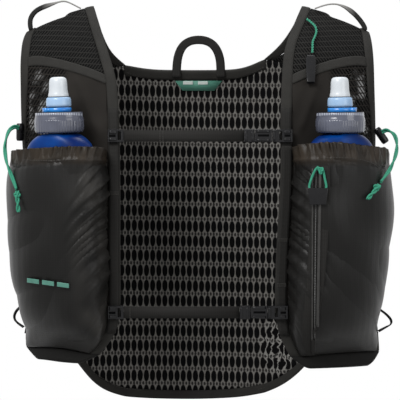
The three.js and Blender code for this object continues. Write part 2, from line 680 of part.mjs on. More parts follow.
// Each side of the front: a mesh yoke over the shoulder, an arched chest band, and a front panel
// down to the foot band, all between two tapes. The pieces share lines, so their edges lie together.
const UNITS = [0, 0.1, 0.24, 0.4, 0.56, 0.72, 0.88, 1];
const YOKE_ROWS = [-1, -0.78, -0.56, -0.36, -0.18, 0];
const YOKE_FRONT_STEPS = 5;
const PANEL_STEPS = 12;
const halfPanel = PANEL_WALL / 2;
const halfBinding = halfPanel + BINDING_PROUD;
for (const front of Object.values(fronts)) {
  const tape = (along) => BINDING_WIDTH / front.width(along);
  const sewn = (along) => clamp((SEAM_BLEND - along) / (SEAM_BLEND + 1), 0, 1);
  const gap = (along) => (CLEAR * (1 + 2 * sewn(along))) / front.width(along);
  const over = (along, unit) => mix(tape(along) + gap(along), 1 - tape(along) - gap(along), unit);
  const arch = (unit) => mix(BAND_INNER_DOWN, BAND_OUTER_DOWN, unit) - BAND_ARCH * 4 * unit * (1 - unit);
  const bandAt = (unit, offset) => front.alongAt(arch(unit) + offset, clamp(unit, 0.08, 0.92));
  const footAt = (unit) => {
    const foot = over(0.98, unit);
    const whole = front.place(1, foot).distanceTo(front.place(0.9, foot)) / 0.1;
    return 1 - FOOT_BAND / whole;
  };
  const seamGap = CLEAR / front.length;
  const firstRow = front.place(-1, 0.5).distanceTo(front.place(YOKE_ROWS[1], 0.5)) / (YOKE_ROWS[1] + 1);
  const start = -1 + (2.2 * CLEAR) / firstRow;
  const yokeRow = (row, unit) => {
    if (row === 0) return start;
    if (row < YOKE_ROWS.length) return YOKE_ROWS[row];
    return mix(0, bandAt(unit, -CHEST_BAND / 2) - seamGap, (row - YOKE_ROWS.length + 1) / YOKE_FRONT_STEPS);
  };
  const panelRow = (row, unit) =>
    mix(bandAt(unit, CHEST_BAND / 2) + seamGap, footAt(unit) - seamGap, row / PANEL_STEPS);
  const yokeSteps = YOKE_ROWS.length + YOKE_FRONT_STEPS - 1;
  Object.assign(front, {
    tape, gap, over, footAt,
    yokeRows: steps(0, 1, yokeSteps).map((_, row) => (unit) => yokeRow(row, unit)),
    panelRows: steps(0, 1, PANEL_STEPS).map((_, row) => (unit) => panelRow(row, unit)),
    bandRows: [-1, 0, 1].map((step) => (unit) => bandAt(unit, (step * CHEST_BAND) / 2)),
  });
}
const frontStrip = (front, rows, units, low, high) => {
  const grid = (rise) =>
    rows.map((row) => units.map((unit) => front.point(row(unit), front.over(row(unit), unit), rise)));
  return wall(grid(low), grid(high));
};
// The tape on the neck edge (0) or the armhole edge (1) of a front.
const edgeTape = (front, alongs, edge, low, high, inset = 0) => {
  const grid = (rise) =>
    alongs.map((along) => {
      const wide = front.tape(along);
      const ends = edge === 0 ? [inset * wide, (1 - inset) * wide] : [1 - wide, 1];
      return ends.map((over) => front.point(along, over, rise));
    });
  return wall(grid(low), grid(high));
};
// The room that the back's top edge takes, and that a tape takes, with the air round them.
const backRoom = backStrip(
  [-1 - 2 * clearShare, ...BACK_OVERS, 1 + 2 * clearShare],
  [(over) => -gapShare(over), (over) => 3 * neckShare(over)],
  -backProud - CLEAR,
  backProud + CLEAR,
);
const tapeRoom = (front, alongs, edge) => {
  const high = halfBinding + CLEAR;
  const grid = (rise) =>
    alongs.map((along) => {
      const wide = front.tape(along) + front.gap(along);
      return (edge === 0 ? [-0.02, wide] : [1 - wide, 1.02]).map((over) => front.point(along, over, rise));
    });
  return wall(grid(-high), grid(high));
};
for (const [name, front] of Object.entries(fronts)) {
  const edgeAlongs = [0, 1].map((edge) => [...front.yokeRows, ...front.panelRows].map((row) => row(edge)));
  front.tapeRooms = [0, 1].map((edge) => tapeRoom(front, edgeAlongs[edge], edge));
  const yoke = frontStrip(front, front.yokeRows, UNITS, -halfPanel, halfPanel);
  add(`${name}_yoke`, cut(yoke, backRoom, front.tapeRooms[0]), "stretch_mesh");
  const band = frontStrip(front, front.bandRows, UNITS, -halfPanel, halfBinding);
  add(`${name}_chest_band`, band, "binding_tape");
  const panelWall = frontStrip(front, front.panelRows, UNITS, -halfPanel, halfPanel);
  add(`${name}_front_panel`, panelWall, "shell_nylon");
  for (const [edge, edgeName] of ["neck_edge", "armhole"].entries()) {
    const tape = edgeTape(front, edgeAlongs[edge], edge, -halfBinding, halfBinding);
    add(`${name}_${edgeName}_binding`, cut(tape, backRoom), "binding_tape");
  }
  const footUnits = [[0, 0], ...UNITS.map((unit) => [front.over(0.98, unit), unit]), [1, 1]];
  const footGrid = (rise) =>
    [front.footAt, () => 0.999].map((row) =>
      footUnits.map(([over, unit]) => front.point(row(unit), over, rise)),
    );
  add(`${name}_foot_band`, wall(footGrid(-halfBinding), footGrid(halfBinding)), "shell_nylon");
}

// The flasks. Each stands on its front panel, leaning a little, with its wide side to the panel.
const flasks = {};
for (const [name, front] of Object.entries(fronts)) {
  const middle = front.alongAt(CAP_TOP + CAP_HEIGHT + FLASK_BODY / 2, FLASK_OVER[name]);
  const facing = front.normal(middle, FLASK_OVER[name]);
  const turn = Math.atan2(facing.x, -facing.y);
  const stand = halfPanel + FLASK_STAND + FLASK_DEPTH / 2;
  const seat = front.point(middle, FLASK_OVER[name], stand);
  const place = new THREE.Matrix4()
    .makeTranslation(seat.x, seat.y, -CAP_TOP - CAP_HEIGHT - FLASK_BODY / 2)
    .multiply(new THREE.Matrix4().makeRotationX(THREE.MathUtils.degToRad(FLASK_PITCH)))
    .multiply(new THREE.Matrix4().makeRotationY(THREE.MathUtils.degToRad(FLASK_LEAN[name])))
    .multiply(new THREE.Matrix4().makeRotationZ(turn))
    .multiply(new THREE.Matrix4().makeTranslation(0, 0, FLASK_BODY / 2));
  flasks[name] = { place, turn, put: (geometry) => geometry.applyMatrix4(place) };
}
const FLASK_SIDES = 20;
const VALVE_SIDES = 14;
for (const [name, { turn, put }] of Object.entries(flasks)) {
  const ring = (row) =>
    steps(0, 1, FLASK_SIDES - 1).map((_, i) => {
      const angle = (2 * Math.PI * i) / FLASK_SIDES;
      const bend = (value) => Math.sign(value) * Math.abs(value) ** (2 / FLASK_SQUARE);
      return vec(
        (bend(Math.cos(angle)) * row.wide * FLASK_WIDTH) / 2,
        (bend(Math.sin(angle)) * row.deep * FLASK_DEPTH) / 2,
        -CLEAR - row.down * FLASK_BODY,
      );
    });
  add(`${name}_flask_body`, put(lofted(FLASK_ROWS.map(ring))), "flask_film");

  const cap = CAP_ROWS.map(({ up, wide }) => [wide * CAP_RADIUS, up * CAP_HEIGHT]);
  add(`${name}_flask_cap`, put(turned(cap, FLASK_SIDES)), "cap_plastic");

  const baseFoot = CAP_HEIGHT + CLEAR;
  const ringTop = baseFoot + LEVER_RING + CLEAR;
  const baseTop = baseFoot + VALVE_BASE;
  const base = [
    [0, baseFoot],
    [STEM_RADIUS, baseFoot],
    [STEM_RADIUS, ringTop],
    [VALVE_RADIUS, ringTop + STEM_SLOPE],
    [VALVE_RADIUS, baseTop - VALVE_CHAMFER],
    [VALVE_RADIUS - VALVE_CHAMFER, baseTop],
    [0, baseTop],
  ];
  add(`${name}_valve_base`, put(turned(base, VALVE_SIDES)), "lever_plastic");

  const tipFoot = baseTop + CLEAR;
  const tip = VALVE_TIP_ROWS.map(({ up, wide }) => [wide * VALVE_TIP_RADIUS, tipFoot + up * VALVE_TIP]);
  add(`${name}_bite_valve`, put(turned(tip, VALVE_SIDES)), "valve_silicone");

  // The lock's ring turns on the stem of the base. Its arm points away from the middle of the vest.
  const ringFoot = baseFoot + CLEAR / 2;
  const ringHigh = LEVER_RING - CLEAR / 2;
  const hole = STEM_RADIUS + CLEAR;
  const lever = new THREE.Shape().absarc(0, 0, VALVE_RADIUS, 0, 2 * Math.PI);
  lever.holes.push(new THREE.Path().absarc(0, 0, hole, 0, 2 * Math.PI));
  const ringShape = { depth: ringHigh, bevelEnabled: false, curveSegments: VALVE_SIDES / 2 };
  const armFrom = hole + LEVER_ROOT;
  const arm = new THREE.BoxGeometry(LEVER_REACH - armFrom, LEVER_WIDTH, ringHigh);
  arm.translate((LEVER_REACH + armFrom) / 2, 0, ringHigh / 2);
  const pointed = join(new THREE.ExtrudeGeometry(lever, ringShape), arm).translate(0, 0, ringFoot);
  add(`${name}_lock_lever`, put(pointed.rotateZ(LEVER_TURN[name] - turn)), "lever_plastic");
}

// The flask pockets: a puffed wall round the flask, open at its gathered mouth. Across, a place on
// it runs from the seam by the neck edge (0) over the crest (0.5) to the seam by the armhole (1).
const POCKET_LEVELS = [0, 0.035, 0.1, 0.17, 0.26, 0.36, 0.48, 0.6, 0.7, 0.79, 0.86, 0.92, 0.965, 1];
const pocketForms = {};
for (const [name, front] of Object.entries(fronts)) {
  const mouth = front.alongAt(POCKET_MOUTH_DOWN[name], POCKET_CREST);
  const foot = (unit) => front.footAt(clamp(unit, 0, 1)) - POCKET_FOOT_GAP / front.length;
  const reach = FLASK_DEPTH + FLASK_STAND + FLASK_EASE[name];
  const place = (along, across) => {
    const angle = Math.PI * clamp(across, 0, 1);
    const inner = across < 0.5;
    const unit = POCKET_CREST - (inner ? POCKET_CREST : 1 - POCKET_CREST) * Math.cos(angle);
    const low = mix(mouth, foot(unit), along);
    const margin = (POCKET_WALL + 2 * CLEAR) / front.width(low);
    const over = mix(front.over(low, 0) + margin, front.over(low, 1) - margin, unit);
    const shape = Math.sin(angle) ** (inner ? POCKET_SIDE.neck : POCKET_SIDE.armhole);
    const rise = reach * column(POCKET_ROWS, "down", along, "rise") * shape;
    const frill = clamp(1 - along / GATHER_REACH, 0, 1) ** 2 * GATHER_DEPTH * shape;
    const folds = frill * Math.cos(Math.PI * across * POCKET_COLUMNS);
    return front.point(low, over, halfPanel + 2 * CLEAR + rise + folds);
  };
  const made = form(place, (along, across) => vec(front.side * (across - 0.35), -0.6, 0));
  pocketForms[name] = made;
  const columns = steps(0, 1, POCKET_COLUMNS);
  const pocketWall = panel(made, POCKET_LEVELS, columns, 0, POCKET_WALL);
  add(`${name}_pocket`, cut(pocketWall, ...front.tapeRooms), "shell_nylon");
}

// The side panels close the vest under the arms, from the front's armhole edge to the back's.
for (const [name, front] of Object.entries(fronts)) {
  const backOver = front.side * (1 + clearShare * 1.5);
  const topDown = backPlace(0, front.side).z / -BACK_LENGTH;
  const footDown = backPlace(1, front.side).z / -BACK_LENGTH;
  const place = (along, across) => {
    const down = mix(SIDE_PANEL_TOP, SIDE_PANEL_FOOT, along);
    const fore = front.place(front.alongAt(down, 1), 1 + 3.2 * front.gap(0.6));
    const aft = backPlace((down / BACK_LENGTH - topDown) / (footDown - topDown), backOver);
    const bulge = SIDE_BULGE * 4 * across * (1 - across);
    return fore.lerp(aft, across).add(vec(front.side * bulge, 0, 0));
  };
  const made = form(place, () => vec(front.side, 0, 0));
  const sideWall = panel(made, steps(0, 1, 8), steps(0, 1, 5), -halfPanel, halfPanel);
  add(`${name}_side_panel`, sideWall, "stretch_mesh");
}

// The rails: ladders of tape sewn on the neck edges, which the sternum straps hook on to.
for (const [name, front] of Object.entries(fronts)) {
  const alongs = front.panelRows.map((row) => row(0)).filter((along) => {
    const down = -front.place(along, 0).z;
    return down > RAIL_TOP && down < RAIL_FOOT;
  });
  const low = halfBinding + CLEAR;
  add(`${name}_rail`, edgeTape(front, alongs, 0, low, low + WEB_THICK, RAIL_INSET), "webbing");
}

// The sternum straps. Each lies on a line between the two rails, with X along it and Z up it.
const railFace = halfBinding + CLEAR + WEB_THICK;
function strapLine(down) {
  const end = (front) => {
    const along = front.alongAt(down, HOOK_ACROSS);
    return front.point(along, HOOK_ACROSS, railFace + 3 * CLEAR + HOOK_THICK / 2);
  };
  const rise = (front) => {
    const along = front.alongAt(down, HOOK_ACROSS);
    const above = front.place(along - 0.02, HOOK_ACROSS);
    return above.sub(front.place(along + 0.02, HOOK_ACROSS)).normalize();
  };
  const from = end(fronts.left);
  const to = end(fronts.right);
  const along = to.clone().sub(from).normalize();
  const lie = rise(fronts.left).add(rise(fronts.right));
  const up = lie.addScaledVector(along, -along.dot(lie)).normalize();
  const matrix = new THREE.Matrix4().makeBasis(along, vec(0, 0, 0).crossVectors(up, along), up);
  matrix.setPosition(from.clone().addScaledVector(along, -from.x / along.x));
  return { matrix, left: from.x, right: to.x };
}
// A plate in the strap's plane from an outline and its holes, centred on the plane.
const plate = (outline, holes, thick) => {
  const shape = new THREE.Shape(outline.map(([x, z]) => new THREE.Vector2(x, z)));
  shape.holes = holes.map((hole) => new THREE.Path(hole.map(([x, z]) => new THREE.Vector2(x, z))));
  const made = new THREE.ExtrudeGeometry(shape, { depth: thick, bevelEnabled: false });
  return made.rotateX(Math.PI / 2).translate(0, thick / 2, 0);
};
const box = (x0, x1, z0, z1, thick, y = 0) =>
  new THREE.BoxGeometry(x1 - x0, thick, z1 - z0).translate((x0 + x1) / 2, y, (z0 + z1) / 2);
const rectangle = (x0, x1, z0, z1) => [[x0, z0], [x1, z0], [x1, z1], [x0, z1]];
for (const [name, strap] of Object.entries(STRAPS)) {
  const line = strapLine(strap.down);
  const put = (geometry) => geometry.applyMatrix4(line.matrix);
  const half = strap.width / 2;
  const tall = half + HOOK_LIP;
  const inner = HOOK_LENGTH - HOOK_OVERLAP;

  // A hook is a plate with a slot for the rail's tape, and a cross bar that the strap is sewn round.
  const slotTall = half * HOOK_SLOT.tall;
  const hook = (from, to, slotFrom, slotTo) =>
    plate(rectangle(from, to, -tall, tall), [rectangle(slotFrom, slotTo, -slotTall, slotTall)], HOOK_THICK);
  const leftEnd = line.left + inner;
  const leftHook = hook(line.left - HOOK_OVERLAP, leftEnd, leftEnd - HOOK_SLOT.to, leftEnd - HOOK_SLOT.from);
  add(`${name}_left_hook`, put(leftHook), "black_plastic");
  // The right hook carries the buckle's tongue, so the buckle's socket closes on it.
  const rightStart = line.right - inner;
  const tongue = box(rightStart - TONGUE_LENGTH, rightStart + 1, -half, half, HOOK_THICK);
  const rightSlot = [rightStart + HOOK_SLOT.from, rightStart + HOOK_SLOT.to];
  const rightHook = join(hook(rightStart, line.right + HOOK_OVERLAP, ...rightSlot), tongue);
  add(`${name}_right_hook`, put(rightHook), "black_plastic");
  const buckleEnd = rightStart - TONGUE_LENGTH - CLEAR;
  const buckleStart = buckleEnd - BUCKLE_LENGTH;
  const buckle = [
    [buckleStart, -half * strap.taper],
    [buckleEnd, -tall],
    [buckleEnd, tall],
    [buckleStart, half * strap.taper],
  ];
  add(`${name}_buckle`, put(plate(buckle, [], BUCKLE_THICK)), "black_plastic");
  const lockEnd = buckleStart - CLEAR;
  const lockStart = lockEnd - LADDER_LENGTH;
  add(`${name}_ladder_lock`, put(box(lockStart, lockEnd, -tall, tall, BUCKLE_THICK)), "black_plastic");

  // The webbing runs from the left hook to the ladder lock.
  const web = box(leftEnd + CLEAR, lockStart - CLEAR, -half, half, WEB_THICK);
  add(`${name}_strap`, put(web), "webbing");
}

// The loop at the middle of the neck: one tape, mitred at its two corners.
const loopFace = backProud + CLEAR + WEB_THICK / 2;
const loopSeat = back.point(0, 0.2, -loopFace);
const hangCentres = HANG_ROWS.map(({ across, up }) =>
  vec(across * HANG_WIDTH, loopSeat.y, loopSeat.z - HANG_SEWN + up * (HANG_RISE + HANG_SEWN)),
);
const hangStops = hangCentres.map((centre, i) => {
  const facing = vec(0, -1, 0);
  const across = vec(0, 0, 0).crossVectors(facing, heading(hangCentres, i)).normalize();
  return { centre, across, facing, width: HANG_TAPE };
});
add("hang_loop", ribbon(hangStops, WEB_THICK), "webbing");

// The label under it, a patch with slanting ends sewn to the inside of the back.
{
  const rise = -BACK_WALL / 2 - 2 * CLEAR;
  const top = neckShare(0) + 2 * gapShare(0);
  const rows = [0, 1].map((end) => ({
    along: top + (end * LABEL_HEIGHT) / backHeight(0),
    half: mix(1, LABEL_TAPER, end),
  }));
  const half = LABEL_WIDTH / 2 / BACK_HALF_WIDTH;
  const grid = (high) =>
    rows.map((row) => steps(-half, half, 2).map((over) => back.point(row.along, over * row.half, high)));
  add("neck_label", wall(grid(rise), grid(rise - LABEL_THICK)), "green_label");
}

// The elastic loops that arch over each shoulder, and the small ones at the foot of each side.
const arc = (rows, from, to, up) =>
  rows.map((row) => from.clone().lerp(to, row.across).addScaledVector(up, row.up));
for (const [name, front] of Object.entries(fronts)) {
  const rows = SHOULDER_LOOP_ROWS[name];
  const from = front.point(SHOULDER_LOOP_AT.outer, 0.93, halfBinding + 2.4 * CLEAR);
  const to = front.point(SHOULDER_LOOP_AT.inner, 0.18, halfPanel + 2 * CLEAR);
  const centres = arc(rows, from, to, vec(0, 0, SHOULDER_LOOP_RISE));
  const stops = centres.map((centre, i) => {
    const ahead = heading(centres, i);
    const facing = vec(0, 0, 0).crossVectors(ahead, vec(0, 1, 0)).normalize();
    const across = vec(0, 0, 0).crossVectors(facing, ahead).normalize();
    return { centre, across, facing, width: ELASTIC_WIDTH };
  });
  add(`${name}_shoulder_loop`, ribbon(stops, ELASTIC_THICK), "binding_tape");

  const pocket = pocketForms[name];
  const sideRows = steps(0, 1, SIDE_LOOP_STEPS).map((share) => {
    const swell = Math.sin(Math.PI * share) * SIDE_LOOP_RISE[name];
    const along = mix(SIDE_LOOP_AT.top, SIDE_LOOP_AT.foot, share);
    return pocket.point(along, SIDE_LOOP_AT.across, POCKET_WALL + CLEAR + ELASTIC_THICK + swell);
  });
  const out = pocket.normal(SIDE_LOOP_AT.top, SIDE_LOOP_AT.across);
  const sideStops = sideRows.map((centre, i) => {
    const ahead = heading(sideRows, i);
    const across = vec(0, 0, 0).crossVectors(ahead, out).normalize();
    return { centre, across, facing: vec(0, 0, 0).crossVectors(across, ahead), width: SIDE_LOOP_WIDTH };
  });
  add(`${name}_side_loop`, ribbon(sideStops, ELASTIC_THICK), "binding_tape");
}

// Cords. Each follows a few points chosen by eye, as the real one lies.
const cord = (points, diameter, sidesRound, count) => {
  const section = new THREE.Shape(
    steps(0, 1, sidesRound - 1).map((_, i) => {
      const angle = (2 * Math.PI * (i + 0.5)) / sidesRound;
      return new THREE.Vector2(Math.cos(angle), Math.sin(angle)).multiplyScalar(diameter / 2);
    }),
  );
  const path = new THREE.CatmullRomCurve3(points, false, "centripetal");
  return new THREE.ExtrudeGeometry(section, { steps: count, bevelEnabled: false, extrudePath: path });
};
const CORD_SIDES = 8;
const THIN_CORD_SIDES = 6;
const CORD_STEPS = 12;
const TAIL_STEPS = 3;
const KNOT_SIDES = 8;
const KNOT_RINGS = 6;
const offset = (from, step) => vec(...step).add(from);
for (const [name, front] of Object.entries(fronts)) {
  const route = DRAWCORD_ROUTES[name];
  const lockAt = offset(front.place(front.alongAt(route.lockDown, 1), 1), route.lockOff);
  const knotAt = offset(pocketForms[name].place(route.knotAt.along, route.knotAt.across), route.knotOff);
  const line = route.bow.map((step, i) => offset(lockAt.clone().lerp(knotAt, i / (route.bow.length - 1)), step));
  add(`${name}_drawcord`, cord(line, CORD_WIDTH, CORD_SIDES, CORD_STEPS), "green_cord");
  const knot = new THREE.SphereGeometry(1, KNOT_SIDES, KNOT_RINGS).scale(...KNOT_SIZE.map((size) => size / 2));
  const tail = cord(route.tail.map((step) => offset(knotAt, step)), CORD_WIDTH, CORD_SIDES, TAIL_STEPS);
  add(`${name}_drawcord_knot`, join(knot.translate(...knotAt), tail), "green_cord");
  const profile = LOCK_ROWS.map(({ up, wide }) => [(wide * LOCK_WIDTH) / 2, (up * LOCK_LENGTH) / 2]);
  const lock = turned(profile, LOCK_SIDES).rotateY(THREE.MathUtils.degToRad(route.lockTurn));
  add(`${name}_cord_lock`, lock.translate(...lockAt), "black_plastic");
}

// The zip of the right pocket: a covered tape on the pocket's crest, and a pull on a loop of cord.
{
  const pocket = pocketForms.right;
  const columns = ZIP_COLUMNS.map((place) => place / POCKET_COLUMNS);
  const rows = POCKET_LEVELS.filter((level) => level >= ZIP_TOP);
  const low = POCKET_WALL + CLEAR;
  add("zip_tape", panel(pocket, rows, columns, low, low + ZIP_TAPE_THICK), "webbing");
  const pullAt = pocket.place(PULL_AT.along, PULL_AT.across);
  const route = ZIP_CORD_ROUTE.map((step) => offset(pullAt, step));
  add("zip_cord", cord(route, ZIP_CORD_WIDTH, THIN_CORD_SIDES, CORD_STEPS), "green_cord");
  const half = PULL_TAB_WIDTH / 2;
  const tip = half * PULL_TAB_TAPER;
  const outline = [[-half, 0], [half, 0], [tip, -PULL_TAB_LENGTH], [-tip, -PULL_TAB_LENGTH]];
  add("zip_pull", plate(outline, [], PULL_TAB_THICK).translate(...offset(pullAt, PULL_TAB_OFF)), "black_plastic");
}

// The whistle hangs on a loop of cord inside the right strap.
{
  const whistleCord = cord(WHISTLE_CORD_ROUTE.map((p) => vec(...p)), WHISTLE_CORD_WIDTH, THIN_CORD_SIDES, CORD_STEPS);
  add("whistle_cord", whistleCord, "green_cord");
  const head = vec(...WHISTLE_HEAD);
  const foot = vec(...WHISTLE_FOOT);
  const across = vec(1, 0, 0);
  const facing = vec(0, 0, 0).crossVectors(foot.clone().sub(head), across).normalize();
  const stops = WHISTLE_ROWS.map(({ down, wide }) => ({
    centre: head.clone().lerp(foot, down),
    across,
    facing,
    width: wide * WHISTLE_WIDTH,
  }));
  add("whistle", ribbon(stops, WHISTLE_THICK), "black_plastic");
}

const vest = new THREE.Group();
for (const mesh of meshes) vest.add(mesh);
export default vest;
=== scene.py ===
import math

import bmesh
import bpy
import numpy as np
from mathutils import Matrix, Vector
from mathutils.bvhtree import BVHTree


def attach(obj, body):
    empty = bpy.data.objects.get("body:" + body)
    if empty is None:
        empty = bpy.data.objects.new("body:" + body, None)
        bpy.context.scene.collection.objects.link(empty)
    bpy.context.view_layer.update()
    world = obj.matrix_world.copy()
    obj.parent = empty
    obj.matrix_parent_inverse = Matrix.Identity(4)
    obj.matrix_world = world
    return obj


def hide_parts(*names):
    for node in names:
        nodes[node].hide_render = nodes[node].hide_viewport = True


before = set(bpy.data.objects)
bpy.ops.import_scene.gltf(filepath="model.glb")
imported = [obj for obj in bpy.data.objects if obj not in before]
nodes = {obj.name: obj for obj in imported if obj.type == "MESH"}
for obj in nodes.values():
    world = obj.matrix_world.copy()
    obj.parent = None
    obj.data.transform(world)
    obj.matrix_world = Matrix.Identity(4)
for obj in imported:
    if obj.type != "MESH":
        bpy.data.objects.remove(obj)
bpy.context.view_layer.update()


# Camera: it stands level in front of the chest, at a distance of about two metres.
# Places in its picture are given in pixels, across and down from the top left corner.
def linked(name, data):
    """An object of the scene that holds this data."""
    made = bpy.data.objects.new(name, data)
    bpy.context.collection.objects.link(made)
    return made


DISTANCE = 2.2
EYE = Vector((0.0016, -DISTANCE, -0.189))
PICTURE = 400  # pixels across the picture, and down it
PIXEL = 0.00105  # one pixel of the picture at the depth of the shoulder seat
SENSOR = 36.0
camera = linked("camera", bpy.data.cameras.new("camera"))
camera.data.sensor_width = SENSOR
camera.data.lens = SENSOR * DISTANCE / (PICTURE * PIXEL)
camera.location = EYE
camera.rotation_euler = (math.pi / 2, 0, 0)
bpy.context.scene.camera = camera


# Studio: a pale floor well below the vest, a white room and three soft lamps, the strongest at the left.
# The vest's colours are set for this light.
class Value:
    """A socket of a material's tree that sums like a number."""

    def __init__(self, tree, socket):
        self.tree = tree
        self.socket = socket

    def op(self, kind, *others, held=False):
        """A Math node on this value and others. held keeps its result from 0 to 1."""
        node = self.tree.nodes.new("ShaderNodeMath")
        node.operation = kind
        node.use_clamp = held
        for place, value in enumerate((self, *others)):
            if isinstance(value, Value):
                self.tree.links.new(value.socket, node.inputs[place])
            else:
                node.inputs[place].default_value = value
        return Value(self.tree, node.outputs[0])

    def __add__(self, other):
        return self.op("ADD", other)

    def __mul__(self, other):
        return self.op("MULTIPLY", other)

    def __sub__(self, other):
        return self.op("SUBTRACT", other)

    def __rsub__(self, other):
        return self * -1 + other

    __radd__ = __add__
    __rmul__ = __mul__

    def wave(self, pitch):
        """0 at each multiple of pitch and 1 halfway between two of them."""
        return (self * (1 / pitch)).op("PINGPONG", 0.5) * 2

    def below(self, edge, soft):
        """1 under edge and 0 over it, with a slope soft wide."""
        return ((edge + soft / 2) - self).op("MULTIPLY", 1 / soft, held=True)


class Shade:
    """A material in the making: its tree, its coordinates in millimetres and its surface."""

    def __init__(self, name):
        self.made = bpy.data.materials.new(name)
        self.made.use_nodes = True
        self.tree = self.made.node_tree
        self.surface = self.tree.nodes["Principled BSDF"]
        self.spot = self.node("ShaderNodeTexCoord", {}).outputs["Object"]
        split = self.node("ShaderNodeSeparateXYZ", {"Vector": self.spot})
        self.x, self.y, self.z = (Value(self.tree, out) * 1000 for out in split.outputs)

    def node(self, kind, inputs, **settings):
        """A node of one kind. Its settings come first, then its sockets by name or number."""
        made = self.tree.nodes.new(kind)
        for name, value in settings.items():
            setattr(made, name, value)
        for key, value in inputs.items():
            self.feed(made.inputs[key], value)
        return made

    def feed(self, socket, value):
        if isinstance(value, Value):
            value = value.socket
        if isinstance(value, bpy.types.NodeSocket):
            self.tree.links.new(value, socket)
        else:
            socket.default_value = value

    def noise(self, scale, detail=2.0):
        """Smooth noise from 0 to 1, scale cells to the metre."""
        made = self.node("ShaderNodeTexNoise", {"Vector": self.spot, "Scale": scale, "Detail": detail})
        return Value(self.tree, made.outputs[0])

    def mix(self, share, first, second):
        """The first colour where share is 0, and the second where it is 1."""
        return self.node("ShaderNodeMix", {0: share, 6: first, 7: second}, data_type="RGBA").outputs[2]

    def done(self, colour, rough, height=None, depth=0.3, shine=0.5, **more):
        """Sets the surface. height is a Value and depth its size in millimetres."""
        sockets = {"Base Color": colour, "Roughness": rough, "Specular IOR Level": shine}
        for name, value in more.items():
            sockets[name.replace("_", " ")] = value
        if height is not None:
            bump = self.node("ShaderNodeBump", {"Height": height, "Distance": depth / 1000})
            sockets["Normal"] = bump.outputs[0]
        for name, value in sockets.items():
            self.feed(self.surface.inputs[name], value)
        return self.made


LIGHT = 2.1  # how strongly the studio lights a surface that faces the camera


def tone(red, green, blue):
    """The colour that a surface needs to be seen as this one, 0 to 255, in the studio's light."""
    linear = ((c / 255 / 12.92 if c < 10 else ((c / 255 + 0.055) / 1.055) ** 2.4) for c in (red, green, blue))
    return (*(c / LIGHT for c in linear), 1.0)


FLOOR = {"size": 2.6, "location": (0, 0, -0.62)}
pale = Shade("pale_floor")
pale.done(pale.mix(pale.noise(3.0), tone(238, 238, 238), tone(244, 244, 243)), 0.9)
bpy.ops.mesh.primitive_plane_add(**FLOOR)
floor = bpy.context.object
floor.name = "floor"
floor.data.materials.append(pale.made)
world = bpy.data.worlds.new("room")
bpy.context.scene.world = world
world.use_nodes = True
sky = world.node_tree.nodes["Background"]
sky.inputs["Color"].default_value = (1, 1, 1, 1)
sky.inputs["Strength"].default_value = 1.0
bpy.context.scene.view_settings.view_transform = "Standard"
LAMPS = [
    {"name": "key", "at": (-0.9, -1.5, 1.1), "wide": 0.9, "power": 62},
    {"name": "fill", "at": (1.4, -1.3, 0.2), "wide": 1.0, "power": 12},
    {"name": "top", "at": (0.1, 0.5, 1.3), "wide": 1.0, "power": 16},
]
AIM = Vector((0, 0, -0.2))
for lamp in LAMPS:
    light = bpy.data.lights.new(lamp["name"], "AREA")
    light.energy = lamp["power"]
    light.size = lamp["wide"]
    holder = linked(lamp["name"], light)
    holder.location = lamp["at"]
    holder.rotation_euler = (AIM - holder.location).to_track_quat("-Z", "Y").to_euler()


# Drawcords: two strands of green polyester twisted together, one cord for each pocket's mouth.
# Each comes out of a cord lock at the armhole, hangs in an arc and ends in a knot with a short tail.
def settled(name, mesh, shade, replaced=(), body="vest"):
    """A piece of the vest, made of a finished mesh. replaced names the CAD nodes that it stands for."""
    made = linked(name, mesh)
    mesh.materials.clear()
    mesh.materials.append(shade)
    mesh.polygons.foreach_set("use_smooth", [True] * len(mesh.polygons))
    if replaced:
        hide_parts(*replaced)
    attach(made, body)
    return made


def spline(points, count):
    """A smooth line of count points through a few, in metres."""
    given = np.array(points, float)
    ends = np.vstack([2 * given[0] - given[1], given, 2 * given[-1] - given[-2]])
    line = []
    for i in range(len(given) - 1):
        a, b, c, d = ends[i : i + 4]
        for t in np.linspace(0, 1, 12, endpoint=False):
            curve = 2 * b + (c - a) * t + (2 * a - 5 * b + 4 * c - d) * t**2 + (3 * b - a - 3 * c + d) * t**3
            line.append(0.5 * curve)
    line = np.array(line + [given[-1]])
    run = np.concatenate([[0], np.cumsum(np.linalg.norm(np.diff(line, axis=0), axis=1))])
    even = np.linspace(0, run[-1], count)
    return np.stack([np.interp(even, run, line[:, k]) for k in range(3)], 1)


def axes_along(line):
    """The two directions across a line, turned as little as possible from point to point."""
    way = np.gradient(line, axis=0)
    way /= np.linalg.norm(way, axis=1)[:, None]
    side = np.cross(way[0], (0.0, 1.0, 0.0))
    sides = []
    for w in way:
        side = side - w * np.dot(side, w)
        side /= np.linalg.norm(side)
        sides.append(side)
    sides = np.array(sides)
    return sides, np.cross(way, sides)


def outward(mesh):
    """Turns the faces of closed shells outwards."""
    work = bmesh.new()
    work.from_mesh(mesh)
    bmesh.ops.recalc_face_normals(work, faces=work.faces)
    work.to_mesh(mesh)
    work.free()
    return mesh


def tubes(name, lines, radius, round_sides=10):
    """A mesh of closed tubes along lines."""
    points = []
    faces = []
    angle = np.linspace(0, 2 * math.pi, round_sides, endpoint=False)
    for line in lines:
        start = len(points)
        across, up = axes_along(line)
        for centre, a, b in zip(line, across, up):
            points.extend(centre + radius * (math.cos(t) * a + math.sin(t) * b) for t in angle)
        for i in range(len(line) - 1):
            for j in range(round_sides):
                here = start + i * round_sides
                after = (j + 1) % round_sides
                faces.append((here + j, here + after, here + round_sides + after, here + round_sides + j))
        faces.append(tuple(start + j for j in reversed(range(round_sides))))
        faces.append(tuple(len(points) - round_sides + j for j in range(round_sides)))
    mesh = bpy.data.meshes.new(name)
    mesh.from_pydata([tuple(p) for p in points], [], faces)
    return outward(mesh)


